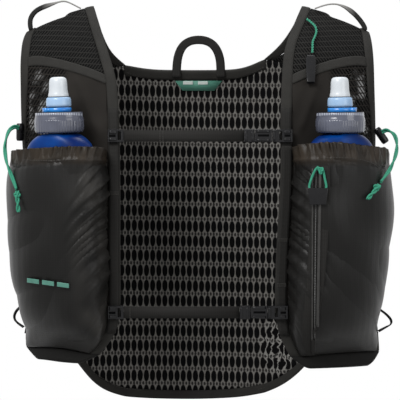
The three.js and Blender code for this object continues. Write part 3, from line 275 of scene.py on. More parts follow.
def twisted(line, apart, turns):
    """Two strands wound round a line."""
    across, up = axes_along(line)
    angle = np.linspace(0, turns * 2 * math.pi, len(line))[:, None]
    swing = np.cos(angle) * across + np.sin(angle) * up * 0.75
    return [line + apart * swing, line - apart * swing]


def knotted(centre, size, count):
    """The line of a small knot about a centre, all in millimetres, in metres."""
    turn = np.linspace(0, 2 * math.pi, count)
    across = np.sin(turn) + 2 * np.sin(2 * turn)
    down = np.cos(turn) - 2 * np.cos(2 * turn)
    return (np.stack([across, -np.sin(3 * turn), down], 1) * size + np.array(centre)) / 1000


SIDES = {"left": -1, "right": 1}
CORD_WIDE = 0.0046  # over both strands
STRAND = CORD_WIDE / 4  # one strand's radius, and its distance from the cord's middle
CORD_TURNS = 1.5
KNOT_STRAND = 0.0011
TAIL_APART = 0.0012
TAIL_TURNS = 1.2
green = Shade("green_cord")
fleck = ((green.x + green.z * 0.8).wave(1.1) + green.y.wave(0.9)) * 0.5
green.done(green.mix(fleck, tone(24, 112, 88), tone(72, 176, 142)), 0.7, fleck, 0.2, 0.2)
CORDS = {  # millimetres, as are the tails and knots
    "left": [
        (-184.6, -46, -115), (-189, -50, -114), (-194, -60, -119.5), (-196, -76, -134),
        (-193.5, -92, -148), (-189, -105, -159), (-184, -114.5, -170), (-180.5, -120.5, -178.5),
    ],
    "right": [
        (188.6, -46, -119), (194, -50, -117.5), (200, -60, -122.5), (201.5, -74, -133),
        (198, -90, -146), (191.5, -107.25, -158), (186, -115.75, -165.1), (181, -121.75, -171.1),
    ],
}
TAILS = {
    "left": [(-179.6, -122.4, -180), (-179.4, -122.6, -188), (-178.4, -122.6, -201)],
    "right": [(179, -127, -174), (175, -130.6, -179), (166.5, -138.7, -188)],
}
KNOTS = {"left": (-179.6, -122.4, -184.5), "right": (176.6, -128.85, -176.5)}
for side in SIDES:
    tail = twisted(spline(np.array(TAILS[side]) / 1000, 30), TAIL_APART, TAIL_TURNS)
    bight = knotted(KNOTS[side], (1.0, 0.7, 1.0), 60)
    knot = tubes("knot", [bight, *tail], KNOT_STRAND)
    knot = settled(f"{side}_cord_knot", knot, green.made, [f"{side}_drawcord_knot"])
    line = spline(np.array(CORDS[side]) / 1000, 140)
    rope = tubes("rope", twisted(line, STRAND, CORD_TURNS), STRAND)
    cord = settled(f"{side}_cord", rope, green.made, [f"{side}_drawcord"])


# Back panel: one layer of knitted spacer mesh, with rows of tall holes and rows of pinholes between them.
# It is sewn into tapes all round, and its dark lining shows at the bottom of the holes, painted near black
# with painted shade in them.
def plain_mesh(made):
    """The mesh that an object's modifiers give. The object itself goes."""
    mesh = bpy.data.meshes.new_from_object(made.evaluated_get(bpy.context.evaluated_depsgraph_get()))
    bpy.data.objects.remove(made)
    return mesh


def skin(name, part, levels=2, crease=1.0):
    """A smooth mesh over the faces of a CAD node. crease is how sharp its rims stay, from 0 to 1."""
    mesh = nodes[part].data.copy()
    mesh.transform(nodes[part].matrix_world)
    work = bmesh.new()
    work.from_mesh(mesh)
    bmesh.ops.remove_doubles(work, verts=work.verts, dist=2e-5)
    bmesh.ops.join_triangles(work, faces=work.faces, angle_face_threshold=0.6, angle_shape_threshold=1.2)
    bmesh.ops.recalc_face_normals(work, faces=work.faces)
    sharp = work.edges.layers.float.new("crease_edge")
    for edge in work.edges:
        if len(edge.link_faces) == 2 and edge.calc_face_angle() > RIM_ANGLE:
            edge[sharp] = crease
    mesh = bpy.data.meshes.new(name)
    work.to_mesh(mesh)
    work.free()
    made = linked(name, mesh)
    made.modifiers.new("smooth", "SUBSURF").levels = levels
    return plain_mesh(made)


def push(mesh, field):
    """Moves each point along its normal by field(x, y, z, normals), all in millimetres."""
    count = len(mesh.vertices)
    points = np.empty(count * 3)
    mesh.vertices.foreach_get("co", points)
    points = points.reshape(-1, 3)
    normals = np.empty(count * 3)
    mesh.vertices.foreach_get("normal", normals)
    rise = field(*(points.T * 1000), normals.reshape(-1, 3))
    mesh.vertices.foreach_set("co", (points + normals.reshape(-1, 3) * rise[:, None] / 1000).ravel())
    mesh.update()
    return mesh


RIM_ANGLE = 0.8  # radians between two faces, past which their edge is a rim
HOLE_PITCH = 6.68  # millimetres, as are the next ones
ROW_PITCH = 16.3
ROW_START = 2.0
HOLE_WIDE = 5.5
HOLE_TALL = 12.9
PIN_WIDE = 2.2
PIN_TALL = 3.6
KNIT_PITCH = 1.3
BUNCH_X = 88  # where the net is bunched up, low on the right
BUNCH_Z = -346
BUNCH_WIDE = 20
BUNCH_TALL = 30
BUNCH_DRIFT = 13  # how far the holes stray there
RIM_RISE = 0.9  # how far the panel's rim reaches into the tapes
net = Shade("spacer_mesh")
aside = (net.x - BUNCH_X) * (1 / BUNCH_WIDE)
below = (net.z - BUNCH_Z) * (1 / BUNCH_TALL)
bunch = (aside * aside + below * below).below(1.0, 0.7)
drift = (net.noise(95.0, 3.0) - 0.5) * bunch * BUNCH_DRIFT
run = net.x + drift
row = net.z + net.x * 0.02 + drift * 0.7
tall = ((row - ROW_START) * (1 / ROW_PITCH)).op("PINGPONG", 0.5) * ROW_PITCH
wide = (run * (1 / HOLE_PITCH)).op("PINGPONG", 0.5) * HOLE_PITCH
side_way = ((HOLE_PITCH / 2 - wide) * (2 / HOLE_WIDE)).op("POWER", 2.0)
hole = (side_way + ((ROW_PITCH / 2 - tall) * (2 / HOLE_TALL)).op("POWER", 2.0)).below(1.0, 0.35)
small = (run * (2 / HOLE_PITCH)).op("PINGPONG", 0.5) * (HOLE_PITCH / 2)
pin = ((small * (2 / PIN_WIDE)).op("POWER", 2.0) + (tall * (2 / PIN_TALL)).op("POWER", 2.0)).below(1.0, 0.5)
knit = (net.x + net.z).wave(KNIT_PITCH) * 0.5 + (net.x - net.z).wave(KNIT_PITCH) * 0.5
open_net = hole.op("MAXIMUM", pin * 0.85)
strut = net.mix(knit, tone(82, 80, 77), tone(152, 149, 144))
strut = net.mix(bunch * 0.4, strut, tone(166, 164, 160))
# The holes are painted near black: the dark lining, darkened further by painted shade.
net.done(net.mix(open_net, strut, tone(7, 7, 8)), 0.9, knit * 0.15 - open_net, 1.4, 0.06)
back = skin("back", "back_panel")
push(back, lambda x, y, z, normals: RIM_RISE * np.clip(1.3 - 1.6 * np.abs(normals[:, 1]), 0, 1))
settled("back", back, net.made, ["back_panel"])


# Tapes: woven nylon edging, folded and sewn over every free edge of the shell and the net.
# The ends of the neck's tape are tucked under the tapes of the front edges.
def tape_shade(name, dark, light):
    made = Shade(name)
    rib = (made.x + made.z * 0.5).wave(0.9) * 0.6 + made.z.wave(0.8) * 0.4
    cloudy = made.noise(60.0)
    colour = made.mix(rib * 0.5 + cloudy * 0.5, tone(*dark), tone(*light))
    return made.done(colour, 0.8, rib, 0.12, 0.08)


TAPE_RISE = 0.45  # millimetres, as is the next one
TUCKED_ENDS = 3.2
tape = tape_shade("binding_tape", (28, 27, 26), (58, 57, 54))
EDGES = ("back_edge_binding", "neck_edge_binding", "armhole_binding", "chest_band")
for node in ("neck_binding", "hem_binding", *(f"{side}_{part}" for side in SIDES for part in EDGES)):
    ends = TUCKED_ENDS if node == "neck_binding" else 0.0
    fold = skin(node, node, crease=0.6)
    push(fold, lambda x, y, z, normals: TAPE_RISE + ends * (np.abs(normals[:, 0]) > 0.6))
    settled(node + "_tape", fold, tape, [node])


# Stitches: short raised threads of grey polyester, laid at even steps along the seams.
# Here are the lines near the inner side of the neck's and the hem's tapes.
def stitch_tree():
    """Geometry nodes that lay a small thread at even steps along the edges of a mesh."""
    tree = bpy.data.node_groups.new("stitches", "GeometryNodeTree")
    face = tree.interface
    face.new_socket("Line", in_out="INPUT", socket_type="NodeSocketGeometry")
    for name in ("Step", "Length", "Radius"):
        face.new_socket(name, in_out="INPUT", socket_type="NodeSocketFloat")
    face.new_socket("Thread", in_out="INPUT", socket_type="NodeSocketMaterial")
    face.new_socket("Geometry", in_out="OUTPUT", socket_type="NodeSocketGeometry")
    kinds = {
        "in": "NodeGroupInput", "curve": "GeometryNodeMeshToCurve", "even": "GeometryNodeResampleCurve",
        "way": "GeometryNodeInputTangent", "turn": "FunctionNodeAlignRotationToVector",
        "rod": "GeometryNodeMeshCylinder", "lay": "GeometryNodeInstanceOnPoints",
        "real": "GeometryNodeRealizeInstances", "paint": "GeometryNodeSetMaterial", "out": "NodeGroupOutput",
    }
    made = {key: tree.nodes.new(kind) for key, kind in kinds.items()}
    made["even"].mode = "LENGTH"
    made["turn"].axis = "Z"
    made["rod"].inputs["Vertices"].default_value = 6
    for start, out, end, into in (
        ("in", "Line", "curve", "Mesh"),
        ("curve", "Curve", "even", "Curve"),
        ("in", "Step", "even", "Length"),
        ("way", "Tangent", "turn", "Vector"),
        ("in", "Length", "rod", "Depth"),
        ("in", "Radius", "rod", "Radius"),
        ("even", "Curve", "lay", "Points"),
        ("rod", "Mesh", "lay", "Instance"),
        ("turn", "Rotation", "lay", "Rotation"),
        ("lay", "Instances", "real", "Geometry"),
        ("real", "Geometry", "paint", "Geometry"),
        ("in", "Thread", "paint", "Material"),
        ("paint", "Geometry", "out", "Geometry"),
    ):
        tree.links.new(made[start].outputs[out], made[end].inputs[into])
    return tree


surfaces = {}  # the CAD nodes that were looked at so far, ready for rays


def sight(u, v):
    """The way that the eye looks through a place in the picture."""
    half = PICTURE / 2
    return Vector(((u - half) * PIXEL, DISTANCE, (half - v) * PIXEL)).normalized()


def seen(u, v, node, lift=0.0):
    """The point of a CAD node that lies behind a place in the picture, a little towards the eye."""
    if node not in surfaces:
        mesh = nodes[node].data
        spots = [nodes[node].matrix_world @ p.co for p in mesh.vertices]
        surfaces[node] = BVHTree.FromPolygons(spots, [tuple(f.vertices) for f in mesh.polygons])
    way = sight(u, v)
    hit = surfaces[node].ray_cast(EYE, way)[0]
    return None if hit is None else hit - way * lift


def seam(name, lines, step=0.003, length=0.0019):
    """A piece of stitches along lines of points, a stitch's length long and a step apart."""
    points = []
    edges = []
    for line in lines:
        kept = [p for p in line if p is not None]
        edges.extend((len(points) + i, len(points) + i + 1) for i in range(len(kept) - 1))
        points.extend(kept)
    mesh = bpy.data.meshes.new(name)
    mesh.from_pydata([tuple(p) for p in points], edges, [])
    made = linked(name, mesh)
    maker = made.modifiers.new("stitches", "NODES")
    maker.node_group = stitches
    keys = {item.name: item.identifier for item in stitches.interface.items_tree}
    sizes = {"Step": step, "Length": length, "Radius": THREAD_RADIUS, "Thread": thread.made}
    for key, value in sizes.items():
        maker[keys[key]] = value
    return settled(name, plain_mesh(made), thread.made)


def along(pixels, node, lift=0.0002, count=24):
    """Points on a CAD node behind a smooth line of places in the picture."""
    flat = spline([(u, v, 0.0) for u, v in pixels], count)
    return [seen(u, v, node, lift) for u, v, _ in flat]


THREAD_RADIUS = 0.00028
stitches = stitch_tree()
thread = Shade("thread")
thread.done(thread.mix(thread.noise(400.0), tone(58, 57, 55), tone(92, 90, 87)), 0.7, shine=0.1)
NECK_LINE = [(122, 70), (136, 76), (150, 77.5), (200, 77.5), (238, 77.5), (262, 68), (274, 60)]
HEM_LINE = [(92, 372), (110, 383), (124, 388), (158, 391.5), (219, 392.5), (255, 390), (280, 381), (298, 368)]
seam("neck_stitches", [along(NECK_LINE, "neck_binding")])
seam("hem_stitches", [along(HEM_LINE, "hem_binding")])


# Yokes, front panels and side panels: fine stretch net, whose slots slant down towards the shoulders.
# A plain lining backs it everywhere but near the armholes, where light comes through.
def net_shade(name, dark, light, pitch, clear, plain_to=0.0):
    """A net with slots pitch millimetres apart, plain from the middle to plain_to, and more or less clear."""
    made = Shade(name)
    out = made.x.op("ABSOLUTE")
    across = made.z * SLOT_RUN + out * SLOT_RISE
    length = made.z * SLOT_RISE - out * SLOT_RUN + across * 0.6
    yarn = across.wave(pitch).below(0.36, 0.3)
    tie = length.wave(pitch * 2.6).below(0.16, 0.2)
    gap = (1 - yarn) * (1 - tie) * (1 - out.below(plain_to, 6.0))
    colour = made.mix(made.noise(22.0, 3.0), tone(*dark), tone(*light))
    # The slots are painted near black: the lining behind them, with painted shade in the slots.
    colour = made.mix(gap, colour, tone(6, 6, 6))
    far = (out - CLEAR_FROM).op("MULTIPLY", 0.1, held=True)
    speck = (made.noise(70.0) - 0.4).op("MULTIPLY", 5.0, held=True)
    return made.done(colour, 0.85, 1 - gap, 0.35, 0.05, Alpha=1 - gap * far * speck * clear)


def front_folds(x, y, z, normals):
    """One slanting fold beside the flask with a valley along it, and a little slack, all in millimetres."""
    out = np.abs(x)
    band = np.clip((FOLD_TOP - z) / 10, 0, 1) * np.clip((z - FOLD_FOOT) / 12, 0, 1)
    beside = out - FOLD_SLANT * z - FOLD_AT
    valley = VALLEY_DEEP * np.exp(-(((beside + VALLEY_AWAY) / VALLEY_WIDE) ** 2))
    fold = FOLD_RISE * np.exp(-((beside / FOLD_WIDE) ** 2)) - valley
    return (fold + 0.35 * np.sin(0.19 * z + 0.11 * out)) * band


SLOT_RISE = 0.82  # the slant of the net's slots: so far up for so far across
SLOT_RUN = 0.57
FOLD_TOP = -62  # millimetres, as are the next ones
FOLD_FOOT = -126
FOLD_AT = 149  # the fold's distance from the middle, carried up to height 0
FOLD_SLANT = 0.394
FOLD_RISE = 1.5
FOLD_WIDE = 3.6
VALLEY_AWAY = 9
VALLEY_DEEP = 0.6
VALLEY_WIDE = 5
CLEAR_FROM = 146  # the distance from the middle to where the net is one layer thick
SEAM_REACH = 0.0016  # metres that the side panel's front edge reaches into the front panel's seam
SEAM_DEEP = 0.015
yoke_net = net_shade("stretch_mesh", (21, 21, 20), (50, 49, 47), 2.6, 0.1)
side_net = net_shade("side_mesh", (30, 29, 29), (62, 61, 59), 2.6, 0.2)
front_net = net_shade("front_mesh", (30, 28, 26), (50, 47, 44), 2.9, 0.45, plain_to=134.0)
for side in SIDES:
    settled(f"{side}_yoke_net", skin("yoke", f"{side}_yoke"), yoke_net, [f"{side}_yoke"])
    under_arm = skin("side", f"{side}_side_panel")
    foremost = min(point.co.y for point in under_arm.vertices)
    for point in under_arm.vertices:
        point.co.y -= SEAM_REACH * max(0.0, 1 - (point.co.y - foremost) / SEAM_DEEP)
    settled(f"{side}_side_net", under_arm, side_net, [f"{side}_side_panel"])
    front = push(skin("front", f"{side}_front_panel", levels=3), front_folds)
    settled(f"{side}_front_net", front, front_net, [f"{side}_front_panel"])


# Flask pockets: thin coated nylon, gathered on a drawcord at the mouth and sewn into the tapes at the sides.
# Pleats fan out from the neck edge, a line of stitches holds the mouth's hem, and a tape closes the foot.
def folds(side):
    """How far each point of a pocket stands out, in millimetres."""
    sign = SIDES[side]
    seed = np.random.default_rng(7 + sign)
    waves = [(seed.uniform(0.02, 0.09), seed.uniform(-1, 1), seed.uniform(0, 6.3)) for _ in range(9)]

    def field(x, y, z, normals):
        out = sign * x
        top = MOUTH - MOUTH_FALL * np.clip((out - 130) / 50, 0, 1)
        fade = np.exp(-np.clip((top - z) / 26, 0, 1) * 3.2)
        gather = np.sin(out * 0.95 + 1.6 * np.sin(z * 0.09)) * GATHER_RISE + 1.1 * np.sin(out * 0.41 + 1.0)
        gather = gather * fade * np.clip(1.2 - np.abs(normals[:, 2]), 0, 1)
        seam_dip = -HEM_DIP * np.exp(-(((z - top + HEM_WIDE) / 1.6) ** 2))
        lean = z + 1.5 * out + 5 * np.sin(out * 0.09) + 9 * np.sin(z * 0.033 + 1.0)
        inner = np.clip((126 + 9 * np.sin(z * 0.045 + sign) - out) / 22, 0, 1)
        pleat = np.sin(lean * 0.33) + 0.55 * np.sin(lean * 0.79 + 2.0)
        pleated = inner * np.clip((z + 340) / 110, 0, 1) * np.clip((top - z - 16) / 14, 0, 1)
        pleat = pleat * pleated * PLEAT_RISE
        drape = np.sin((z + 1.1 * out) * 0.075 + 0.6) * DRAPE_RISE
        slack = sum(np.sin(f * (z + t * out) + p) for f, t, p in waves) * SLACK_RISE
        hold = np.clip((z - FOOT) / 16, 0, 1)
        return (gather + seam_dip + pleat + slack + drape) * hold + FOOT_RISE * (1 - hold)

    return field


MOUTH = -137.0  # height of the mouth at its inner side, in millimetres, as are the next ones
MOUTH_FALL = 6.0
FOOT = -343.0  # height of the seam at the foot
HEM_WIDE = 13.0
HEM_DIP = 1.4
GATHER_RISE = 1.4
PLEAT_RISE = 1.7
DRAPE_RISE = 1.3
SLACK_RISE = 0.4
FOOT_RISE = 1.0
BAND_RISE = 0.4
RIPSTOP_PITCH = 2.4
ripstop = Shade("shell_nylon")
bars_x, bars_z = (way.wave(RIPSTOP_PITCH).below(0.14, 0.1) for way in (ripstop.x, ripstop.z))
grid = bars_x.op("MAXIMUM", bars_z)
cloud = ripstop.noise(14.0, 3.0)
weave = ripstop.x.wave(0.6) * ripstop.z.wave(0.6)
nylon = ripstop.mix(cloud, tone(20, 20, 19), tone(34, 33, 32))
hem = (ripstop.z * -1).below(152.0, 8.0) * ripstop.noise(55.0)
nylon = ripstop.mix(hem, nylon, tone(66, 56, 45))
# Painted sheen: noisy paler patches over the left pocket's pleats, standing for light on their folds.
painted_sheen = (ripstop.noise(26.0, 1.0) - 0.42).op("MULTIPLY", 4.0, held=True)
pleated = (ripstop.x + 130).op("MULTIPLY", 0.05, held=True) * ripstop.x.below(0.0, 20.0)
nylon = ripstop.mix(painted_sheen * pleated * 0.6, nylon, tone(66, 64, 61))  # paler where the left pocket is pleated
ripstop.done(ripstop.mix(grid * 0.25, nylon, tone(52, 51, 49)), 0.34, weave + grid * 0.6, 0.05, 0.5, IOR=1.2)
foot_tape = tape_shade("foot_band", (16, 16, 15), (31, 30, 29))
for side in SIDES:
    cloth = push(skin("pocket", f"{side}_pocket", levels=3), folds(side))
    settled(f"{side}_flask_pocket", cloth, ripstop.made, [f"{side}_pocket"])
    node = f"{side}_foot_band"
    thick = push(skin(node, node), lambda x, y, z, normals: np.full_like(x, BAND_RISE))
    settled(node + "_tape", thick, foot_tape, [node])
LEFT_SEAM = [(24, 160), (45, 160.5), (75, 159.5), (104, 157)]
RIGHT_SEAM = [(292, 157), (320, 158), (350, 158), (372, 163), (380, 169)]
seam("left_pocket_stitches", [along(LEFT_SEAM, "left_pocket", lift=0.0012)])
seam("right_pocket_stitches", [along(RIGHT_SEAM, "right_pocket", lift=0.0012)])


# Marks on the left pocket: three plain green dashes printed on the nylon.
# Each is a thin film of ink that follows the cloth.
def near(u, v, node, lift=0.0):
    """As seen, but a place beside the node gives the node's nearest point."""
    spot = seen(u, v, node, lift)
    if spot is None:
        way = sight(u, v)
        deep = nodes[node].data.vertices[0].co.y - EYE.y
        spot = surfaces[node].find_nearest(EYE + way * (deep / way.y))[0] - way * lift
    return spot


def patch(name, node, corners, shade, lift=0.0012, thick=0.0004, count=10):
    """A thin sheet that lies on a CAD node, between four places in the picture."""
    a, b, c, d = (np.array(p, float) for p in corners)
    grids = []
    for high in (lift, lift + thick):
        rows = []
        for s in np.linspace(0, 1, count):
            left = a + (d - a) * s
            right = b + (c - b) * s
            rows.append([near(*(left + (right - left) * t), node, high) for t in np.linspace(0, 1, count)])
        grids.append(rows)
    points = [tuple(p) for rows in grids for one in rows for p in one]
    places = [(k, i, j) for k in (0, 1) for i in range(count) for j in range(count)]
    spot = {place: number for number, place in enumerate(places)}
    faces = []
    for i in range(count - 1):
        for j in range(count - 1):
            for k in (0, 1):
                faces.append((spot[k, i, j], spot[k, i, j + 1], spot[k, i + 1, j + 1], spot[k, i + 1, j]))
    rim = [(0, j) for j in range(count)] + [(i, count - 1) for i in range(1, count)]
    rim += [(count - 1, j) for j in range(count - 2, -1, -1)] + [(i, 0) for i in range(count - 2, 0, -1)]
    for (i, j), (m, n) in zip(rim, rim[1:] + rim[:1]):
        faces.append((spot[0, i, j], spot[0, m, n], spot[1, m, n], spot[1, i, j]))
    mesh = bpy.data.meshes.new(name)
    mesh.from_pydata(points, [], faces)
    return settled(name, outward(mesh), shade)


ink = Shade("green_ink")
ink.done(ink.mix(ink.noise(120.0), tone(56, 120, 104), tone(92, 158, 140)), 0.55)
DASHES = [(27, 278), (42, 280), (57, 282)]  # pixels, as are the next ones
DASH_LONG = 12
DASH_TALL = 4.5
DASH_FALL = 1.7
for number, (u, v) in enumerate(DASHES):
    end_u = u + DASH_LONG
    end_v = v + DASH_FALL
    corners = [(u, v), (end_u, end_v), (end_u, end_v + DASH_TALL), (u, v + DASH_TALL)]
    patch(f"pocket_mark_{number}", "left_pocket", corners, ink.made, lift=0.0032)


# Soft flasks: each is a bag of blue film under a ribbed screw cap of clear grey plastic.
# On the cap sit a pale blue lock and a bite valve of milky silicone, which a blue lever on the lock shuts.
CAP_MIDDLE = -117  # heights in millimetres
CAP_LIP = -104.5
film = Shade("flask_film")
ripple = film.noise(26.0, 3.0)
deep = film.mix((ripple - 0.35).op("MULTIPLY", 2.6, held=True), tone(2, 24, 84), tone(6, 74, 156))
film.done(deep, 0.3, ripple, 1.6, 0.08)
clear_grey = Shade("cap_plastic")
rib = clear_grey.x.wave(2.6)
band = (clear_grey.z - CAP_MIDDLE).op("ABSOLUTE").below(6.0, 1.0)
grey = clear_grey.mix(clear_grey.noise(60.0), tone(66, 69, 82), tone(104, 108, 124))
# Painted highlight: the knurled top lip of the cap is painted near white, as if lit from above.
lip_highlight = (clear_grey.z - CAP_LIP).op("ABSOLUTE").below(1.1, 0.6) * clear_grey.x.wave(2.2)
grey = clear_grey.mix(lip_highlight, grey, tone(190, 196, 210))
clear_grey.done(grey, 0.2, rib * band, 0.35, 0.3, Coat_Weight=0.2)
silicone = Shade("valve_silicone")
milky = silicone.mix(silicone.noise(90.0), tone(204, 211, 218), tone(226, 231, 235))
silicone.done(milky, 0.25, shine=0.3)
blue = Shade("lever_plastic")
blue.done(blue.mix(blue.noise(80.0), tone(10, 110, 210), tone(50, 160, 245)), 0.25)
pale_blue = Shade("lock_body")
frosted = pale_blue.mix(pale_blue.noise(90.0), tone(140, 180, 222), tone(186, 212, 240))
pale_blue.done(frosted, 0.25, shine=0.3)
FLASK = {
    "flask_body": (film.made, "flask_film"),
    "flask_cap": (clear_grey.made, "cap_plastic"),
    "valve_base": (pale_blue.made, "lever_plastic"),
    "bite_valve": (silicone.made, "valve_silicone"),
}
for side in SIDES:
    for part, (shade, slot) in FLASK.items():
        node = f"{side}_{part}"
        settled(node + "_look", skin(node + "_look", node), shade, [node])
    name = f"{side}_lever_look"
    node = f"{side}_lock_lever"
    settled(name, skin(name, node, levels=1), blue.made, [node], f"{side}_lever")


# Rails and sternum straps: ribbed nylon webbing, the rails bar-tacked to the neck edges, and each strap
# with two hooks, a ladder lock and a buckle in black acetal, whose lips and slots are laid on them.
web = Shade("webbing")
warp = web.z.wave(1.3) * 0.7 + web.x.wave(1.9) * 0.3
web.done(web.mix(warp, tone(24, 23, 22), tone(47, 46, 44)), 0.75, warp, 0.25, 0.1)
acetal = Shade("black_plastic")
grain = acetal.noise(300.0)
acetal.done(acetal.mix(grain, tone(16, 16, 18), tone(28, 28, 30)), 0.24, grain, 0.05, 0.2)
for node in ("left_rail", "right_rail", "upper_strap", "lower_strap", "hang_loop", "zip_tape"):
    smooth = skin(node, node, levels=1 if "strap" in node else 2)
    settled(node + "_web", smooth, web.made, [node])


def bevelled(node, width=0.0005):
    """A CAD node's mesh with its edges rounded."""
    made = linked(node, skin(node, node, levels=0))
    maker = made.modifiers.new("edges", "BEVEL")
    maker.width = width
    maker.segments = 3
    return plain_mesh(made)


for row in ("upper", "lower"):
    for part in ("left_hook", "right_hook", "buckle", "ladder_lock"):
        node = f"{row}_{part}"
        made = settled(node + "_look", bevelled(node), acetal.made, [node])
        for face in made.data.polygons:
            face.use_smooth = False
LIPS = {  # raised lips of the hooks, locks and buckles, each from corner to corner in the picture
    "upper_left_hook": [(109, 130.5, 116, 133.5), (109, 138, 116, 140.5)],
    "lower_left_hook": [(109, 307, 116, 310.5), (109, 315.5, 116, 318.2)],
    "upper_ladder_lock": [(245, 130, 247.2, 141), (251.6, 130, 253.6, 141)],
    "lower_ladder_lock": [(240.6, 307, 242.6, 318.4), (246.6, 307, 248.6, 318.4)],
    "upper_buckle": [(256.5, 130.2, 269.5, 132), (256.5, 139, 269.5, 140.8)],
    "lower_buckle": [(252, 307, 266, 308.8), (252, 316.4, 266, 318.2)],
    "upper_right_hook": [(273.2, 130.4, 275, 140.6), (284, 130.4, 290.5, 133), (284, 138, 290.5, 140.6)],
    "lower_right_hook": [(269, 307.4, 270.8, 318), (280, 307.4, 286, 310), (280, 315.4, 286, 318)],
}
SLOTS = {  # pressed slots, in the same way
    "upper_left_hook": (109, 134.6, 115.5, 136.8),
    "lower_left_hook": (109, 311.8, 115.5, 314),
    "upper_buckle": (258, 134.4, 269, 136.4),
    "lower_buckle": (253.5, 311.4, 265.5, 313.4),
    "upper_right_hook": (284.5, 134.4, 290.5, 136.6),
    "lower_right_hook": (280.5, 311.6, 286, 313.8),
}
pit = Shade("slot_shadow")
pit.done(pit.mix(pit.noise(200.0), tone(4, 4, 5), tone(9, 9, 10)), 0.8, shine=0.03)


def box_of(u0, v0, u1, v1):
    """The corners of an upright box in the picture."""
    return [(u0, v0), (u1, v0), (u1, v1), (u0, v1)]


LIP_HIGH = 0.0011
for node, bars in LIPS.items():
    for number, bar in enumerate(bars):
        name = f"{node}_lip_{number}"
        patch(name, node, box_of(*bar), acetal.made, lift=0.0, thick=LIP_HIGH, count=5)
for node, bar in SLOTS.items():
    name = f"{node}_slot"
    patch(name, node, box_of(*bar), pit.made, lift=0.0001, thick=0.0002, count=5)
BARTACKS = {
    "left_rail": [(112, 148), (114, 193), (116, 240), (117, 285)],
    "right_rail": [(287, 148), (285, 193), (283, 240), (281.5, 285)],
}
TACK_ENDS = (-4, 4)  # pixels, as are the next two
TACK_ROWS = (-1.2, 0, 1.2)
STRAP_EDGES = (-4.5, 4.5)
for node, marks in BARTACKS.items():
    lines = [[seen(u + k, v + s, node, 0.0002) for k in TACK_ENDS] for u, v in marks for s in TACK_ROWS]
    seam(node + "_bartacks", lines, step=0.0012, length=0.0011)
STRAP_SEAMS = [("upper_strap", 160, 136), ("upper_strap", 163, 136), ("lower_strap", 130, 313)]
lines = [[seen(u, v + k, node, 0.0002) for k in STRAP_EDGES] for node, u, v in STRAP_SEAMS]
seam("strap_stitches", lines, step=0.0018, length=0.0013)


# Cord locks, whistle and zip pull: small mouldings in the same black acetal, each on its green cord.
# The whistle hangs from the right yoke on two twisted strands, and the pull on a loop with a knot.
PULL_RISE = 0.0044  # how far the pull's top reaches up over the cord
PULL_FORWARD = 0.0012
for node in ("left_cord_lock", "right_cord_lock", "whistle", "zip_pull"):
    small = bevelled(node, 0.0006)
    if node == "zip_pull":
        middle = sum(point.co.z for point in small.vertices) / len(small.vertices)
        for point in small.vertices:
            point.co.z += PULL_RISE * (point.co.z > middle)
            point.co.y -= PULL_FORWARD
    settled(node + "_look", small, acetal.made, [node])
WHISTLE_STRAND = 0.00064
WHISTLE_APART = 0.00068
WHISTLE_TURNS = 8
ZIP_CORD_WIDE = 0.0024
ZIP_KNOT = (119.4, -154.6, -160.0)  # millimetres, as are the two routes
WHISTLE_ROUTE = [
    (112.5, -24.4, -1), (116.5, -28.4, -4.5), (120.5, -36.4, -9.5), (121.5, -42.4, -15.5),
    (119.5, -50, -21.5), (117.2, -56, -26.5), (116.5, -63, -33), (116, -69, -39),
]
PULL_ROUTE = [
    (117.5, -152.5, -156.5), (114, -153, -160), (110.5, -152.5, -168), (108.5, -151.5, -176),
    (110.5, -152, -179.4), (117, -152.8, -179.8), (123, -153, -179.4), (125, -153, -176),
    (123.5, -153, -168), (122, -152.8, -160),
]
whistle_line = spline(np.array(WHISTLE_ROUTE) / 1000, 90)
pull_line = spline(np.array(PULL_ROUTE) / 1000, 90)
strand = tubes("whistle_strand", twisted(whistle_line, WHISTLE_APART, WHISTLE_TURNS), WHISTLE_STRAND, 8)
strand = settled("whistle_strand", strand, green.made, ["whistle_cord"])
pull = tubes("zip_strand", [pull_line], ZIP_CORD_WIDE / 2)
pull = settled("zip_strand", pull, green.made, ["zip_cord"])
bight = knotted(ZIP_KNOT, (0.8, 0.5, 1.1), 50)
zip_knot = settled("zip_knot", tubes("zip_knot", [bight], 0.001), green.made)


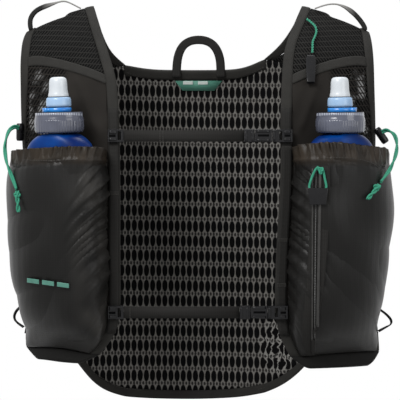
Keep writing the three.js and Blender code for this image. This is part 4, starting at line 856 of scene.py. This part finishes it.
# Zip: a covered nylon coil under two welts, on a woven tape down the crest of the right pocket.
# A short tab of webbing is sewn over its foot.
TEETH_PITCH = 1.6  # millimetres
coil = Shade("zip_coil")
teeth = coil.z.wave(TEETH_PITCH)
coil.done(coil.mix(teeth, tone(22, 22, 22), tone(70, 69, 67)), 0.45, teeth, 0.5)
# The welts are black nylon painted paler: a painted highlight along their ridges.
welt_highlight = Shade("zip_welt_highlight")
welt_highlight.done(welt_highlight.mix(welt_highlight.noise(90.0), tone(44, 43, 42), tone(74, 73, 71)), 0.45, shine=0.2)
ZIP_LINES = {  # pixels across at the top and at the foot, radius in metres
    "zip_ridge_a": (312.6, 312.2, 0.0008, welt_highlight.made),
    "zip_ridge_b": (316.4, 314.4, 0.0008, coil.made),
    "zip_ridge_c": (320.6, 317.0, 0.0016, welt_highlight.made),
}
ZIP_TOP = 162
ZIP_LONG = 190
for name, (u, low_u, radius, shade) in ZIP_LINES.items():
    share = np.linspace(0, 1, 60)
    line = [seen(u + (low_u - u) * t, ZIP_TOP + ZIP_LONG * t, "zip_tape", 0.0003) for t in share]
    line = np.array([tuple(p) for p in line if p is not None])
    settled(name, tubes(name, [line], radius, 8), shade)
FOOT_TAB = [(311.5, 340), (318, 340), (317.5, 354), (311.5, 354)]
patch("zip_foot", "zip_tape", FOOT_TAB, web.made, lift=0.0012, thick=0.0008)


# Neck label: a woven green patch with two plain light bars.
# It is sewn flat on the neck's tape, at the foot of the hang loop.
label = Shade("green_label")
label_weave = label.x.wave(1.0) * label.z.wave(1.0)
label.done(label.mix(label_weave, tone(52, 124, 104), tone(108, 170, 150)), 0.6, label_weave, 0.15)
settled("label", skin("label", "neck_label", levels=0), label.made, ["neck_label"])
mark = Shade("light_mark")
mark.done(mark.mix(mark.noise(200.0), tone(190, 205, 198), tone(222, 232, 226)), 0.6)
LABEL_BARS = {"label_bar_a": (183, 81.2, 193, 84.6), "label_bar_b": (198, 81.2, 208, 84.6)}
for name, bar in LABEL_BARS.items():
    patch(name, "neck_label", box_of(*bar), mark.made, lift=0.0001, thick=0.0003)


# Elastic loops: thin flat elastic over each shoulder, and a small one at the foot of each pocket.
# The shoulder loops are paler on the leg near the neck, and show their flat side on the other.
PALE_TO = 150  # millimetres from the middle, as is the next one
FLAT_FROM = 146
FLAT_RISE = 1.9
elastic = Shade("elastic")
pale_part = (elastic.x.op("ABSOLUTE") - PALE_TO).op("MULTIPLY", 0.07, held=True)
ribbing = elastic.z.wave(1.0) * 0.3
elastic_colour = elastic.mix(pale_part, tone(168, 166, 163), tone(38, 38, 37))
elastic.done(elastic.mix(ribbing, elastic_colour, tone(24, 24, 24)), 0.7, ribbing, 0.1, 0.1)


def flat_leg(x, y, z, normals):
    """How much wider a shoulder loop is on its outer leg, in millimetres."""
    outer = np.clip((np.abs(x) - FLAT_FROM) / 14, 0, 1) * (z > -60)
    return FLAT_RISE * outer * np.clip(1.1 - np.abs(normals[:, 1]), 0, 1)


for side in SIDES:
    for part in ("shoulder_loop", "side_loop"):
        node = f"{side}_{part}"
        settled(node + "_elastic", push(skin(node, node), flat_leg), elastic.made, [node])
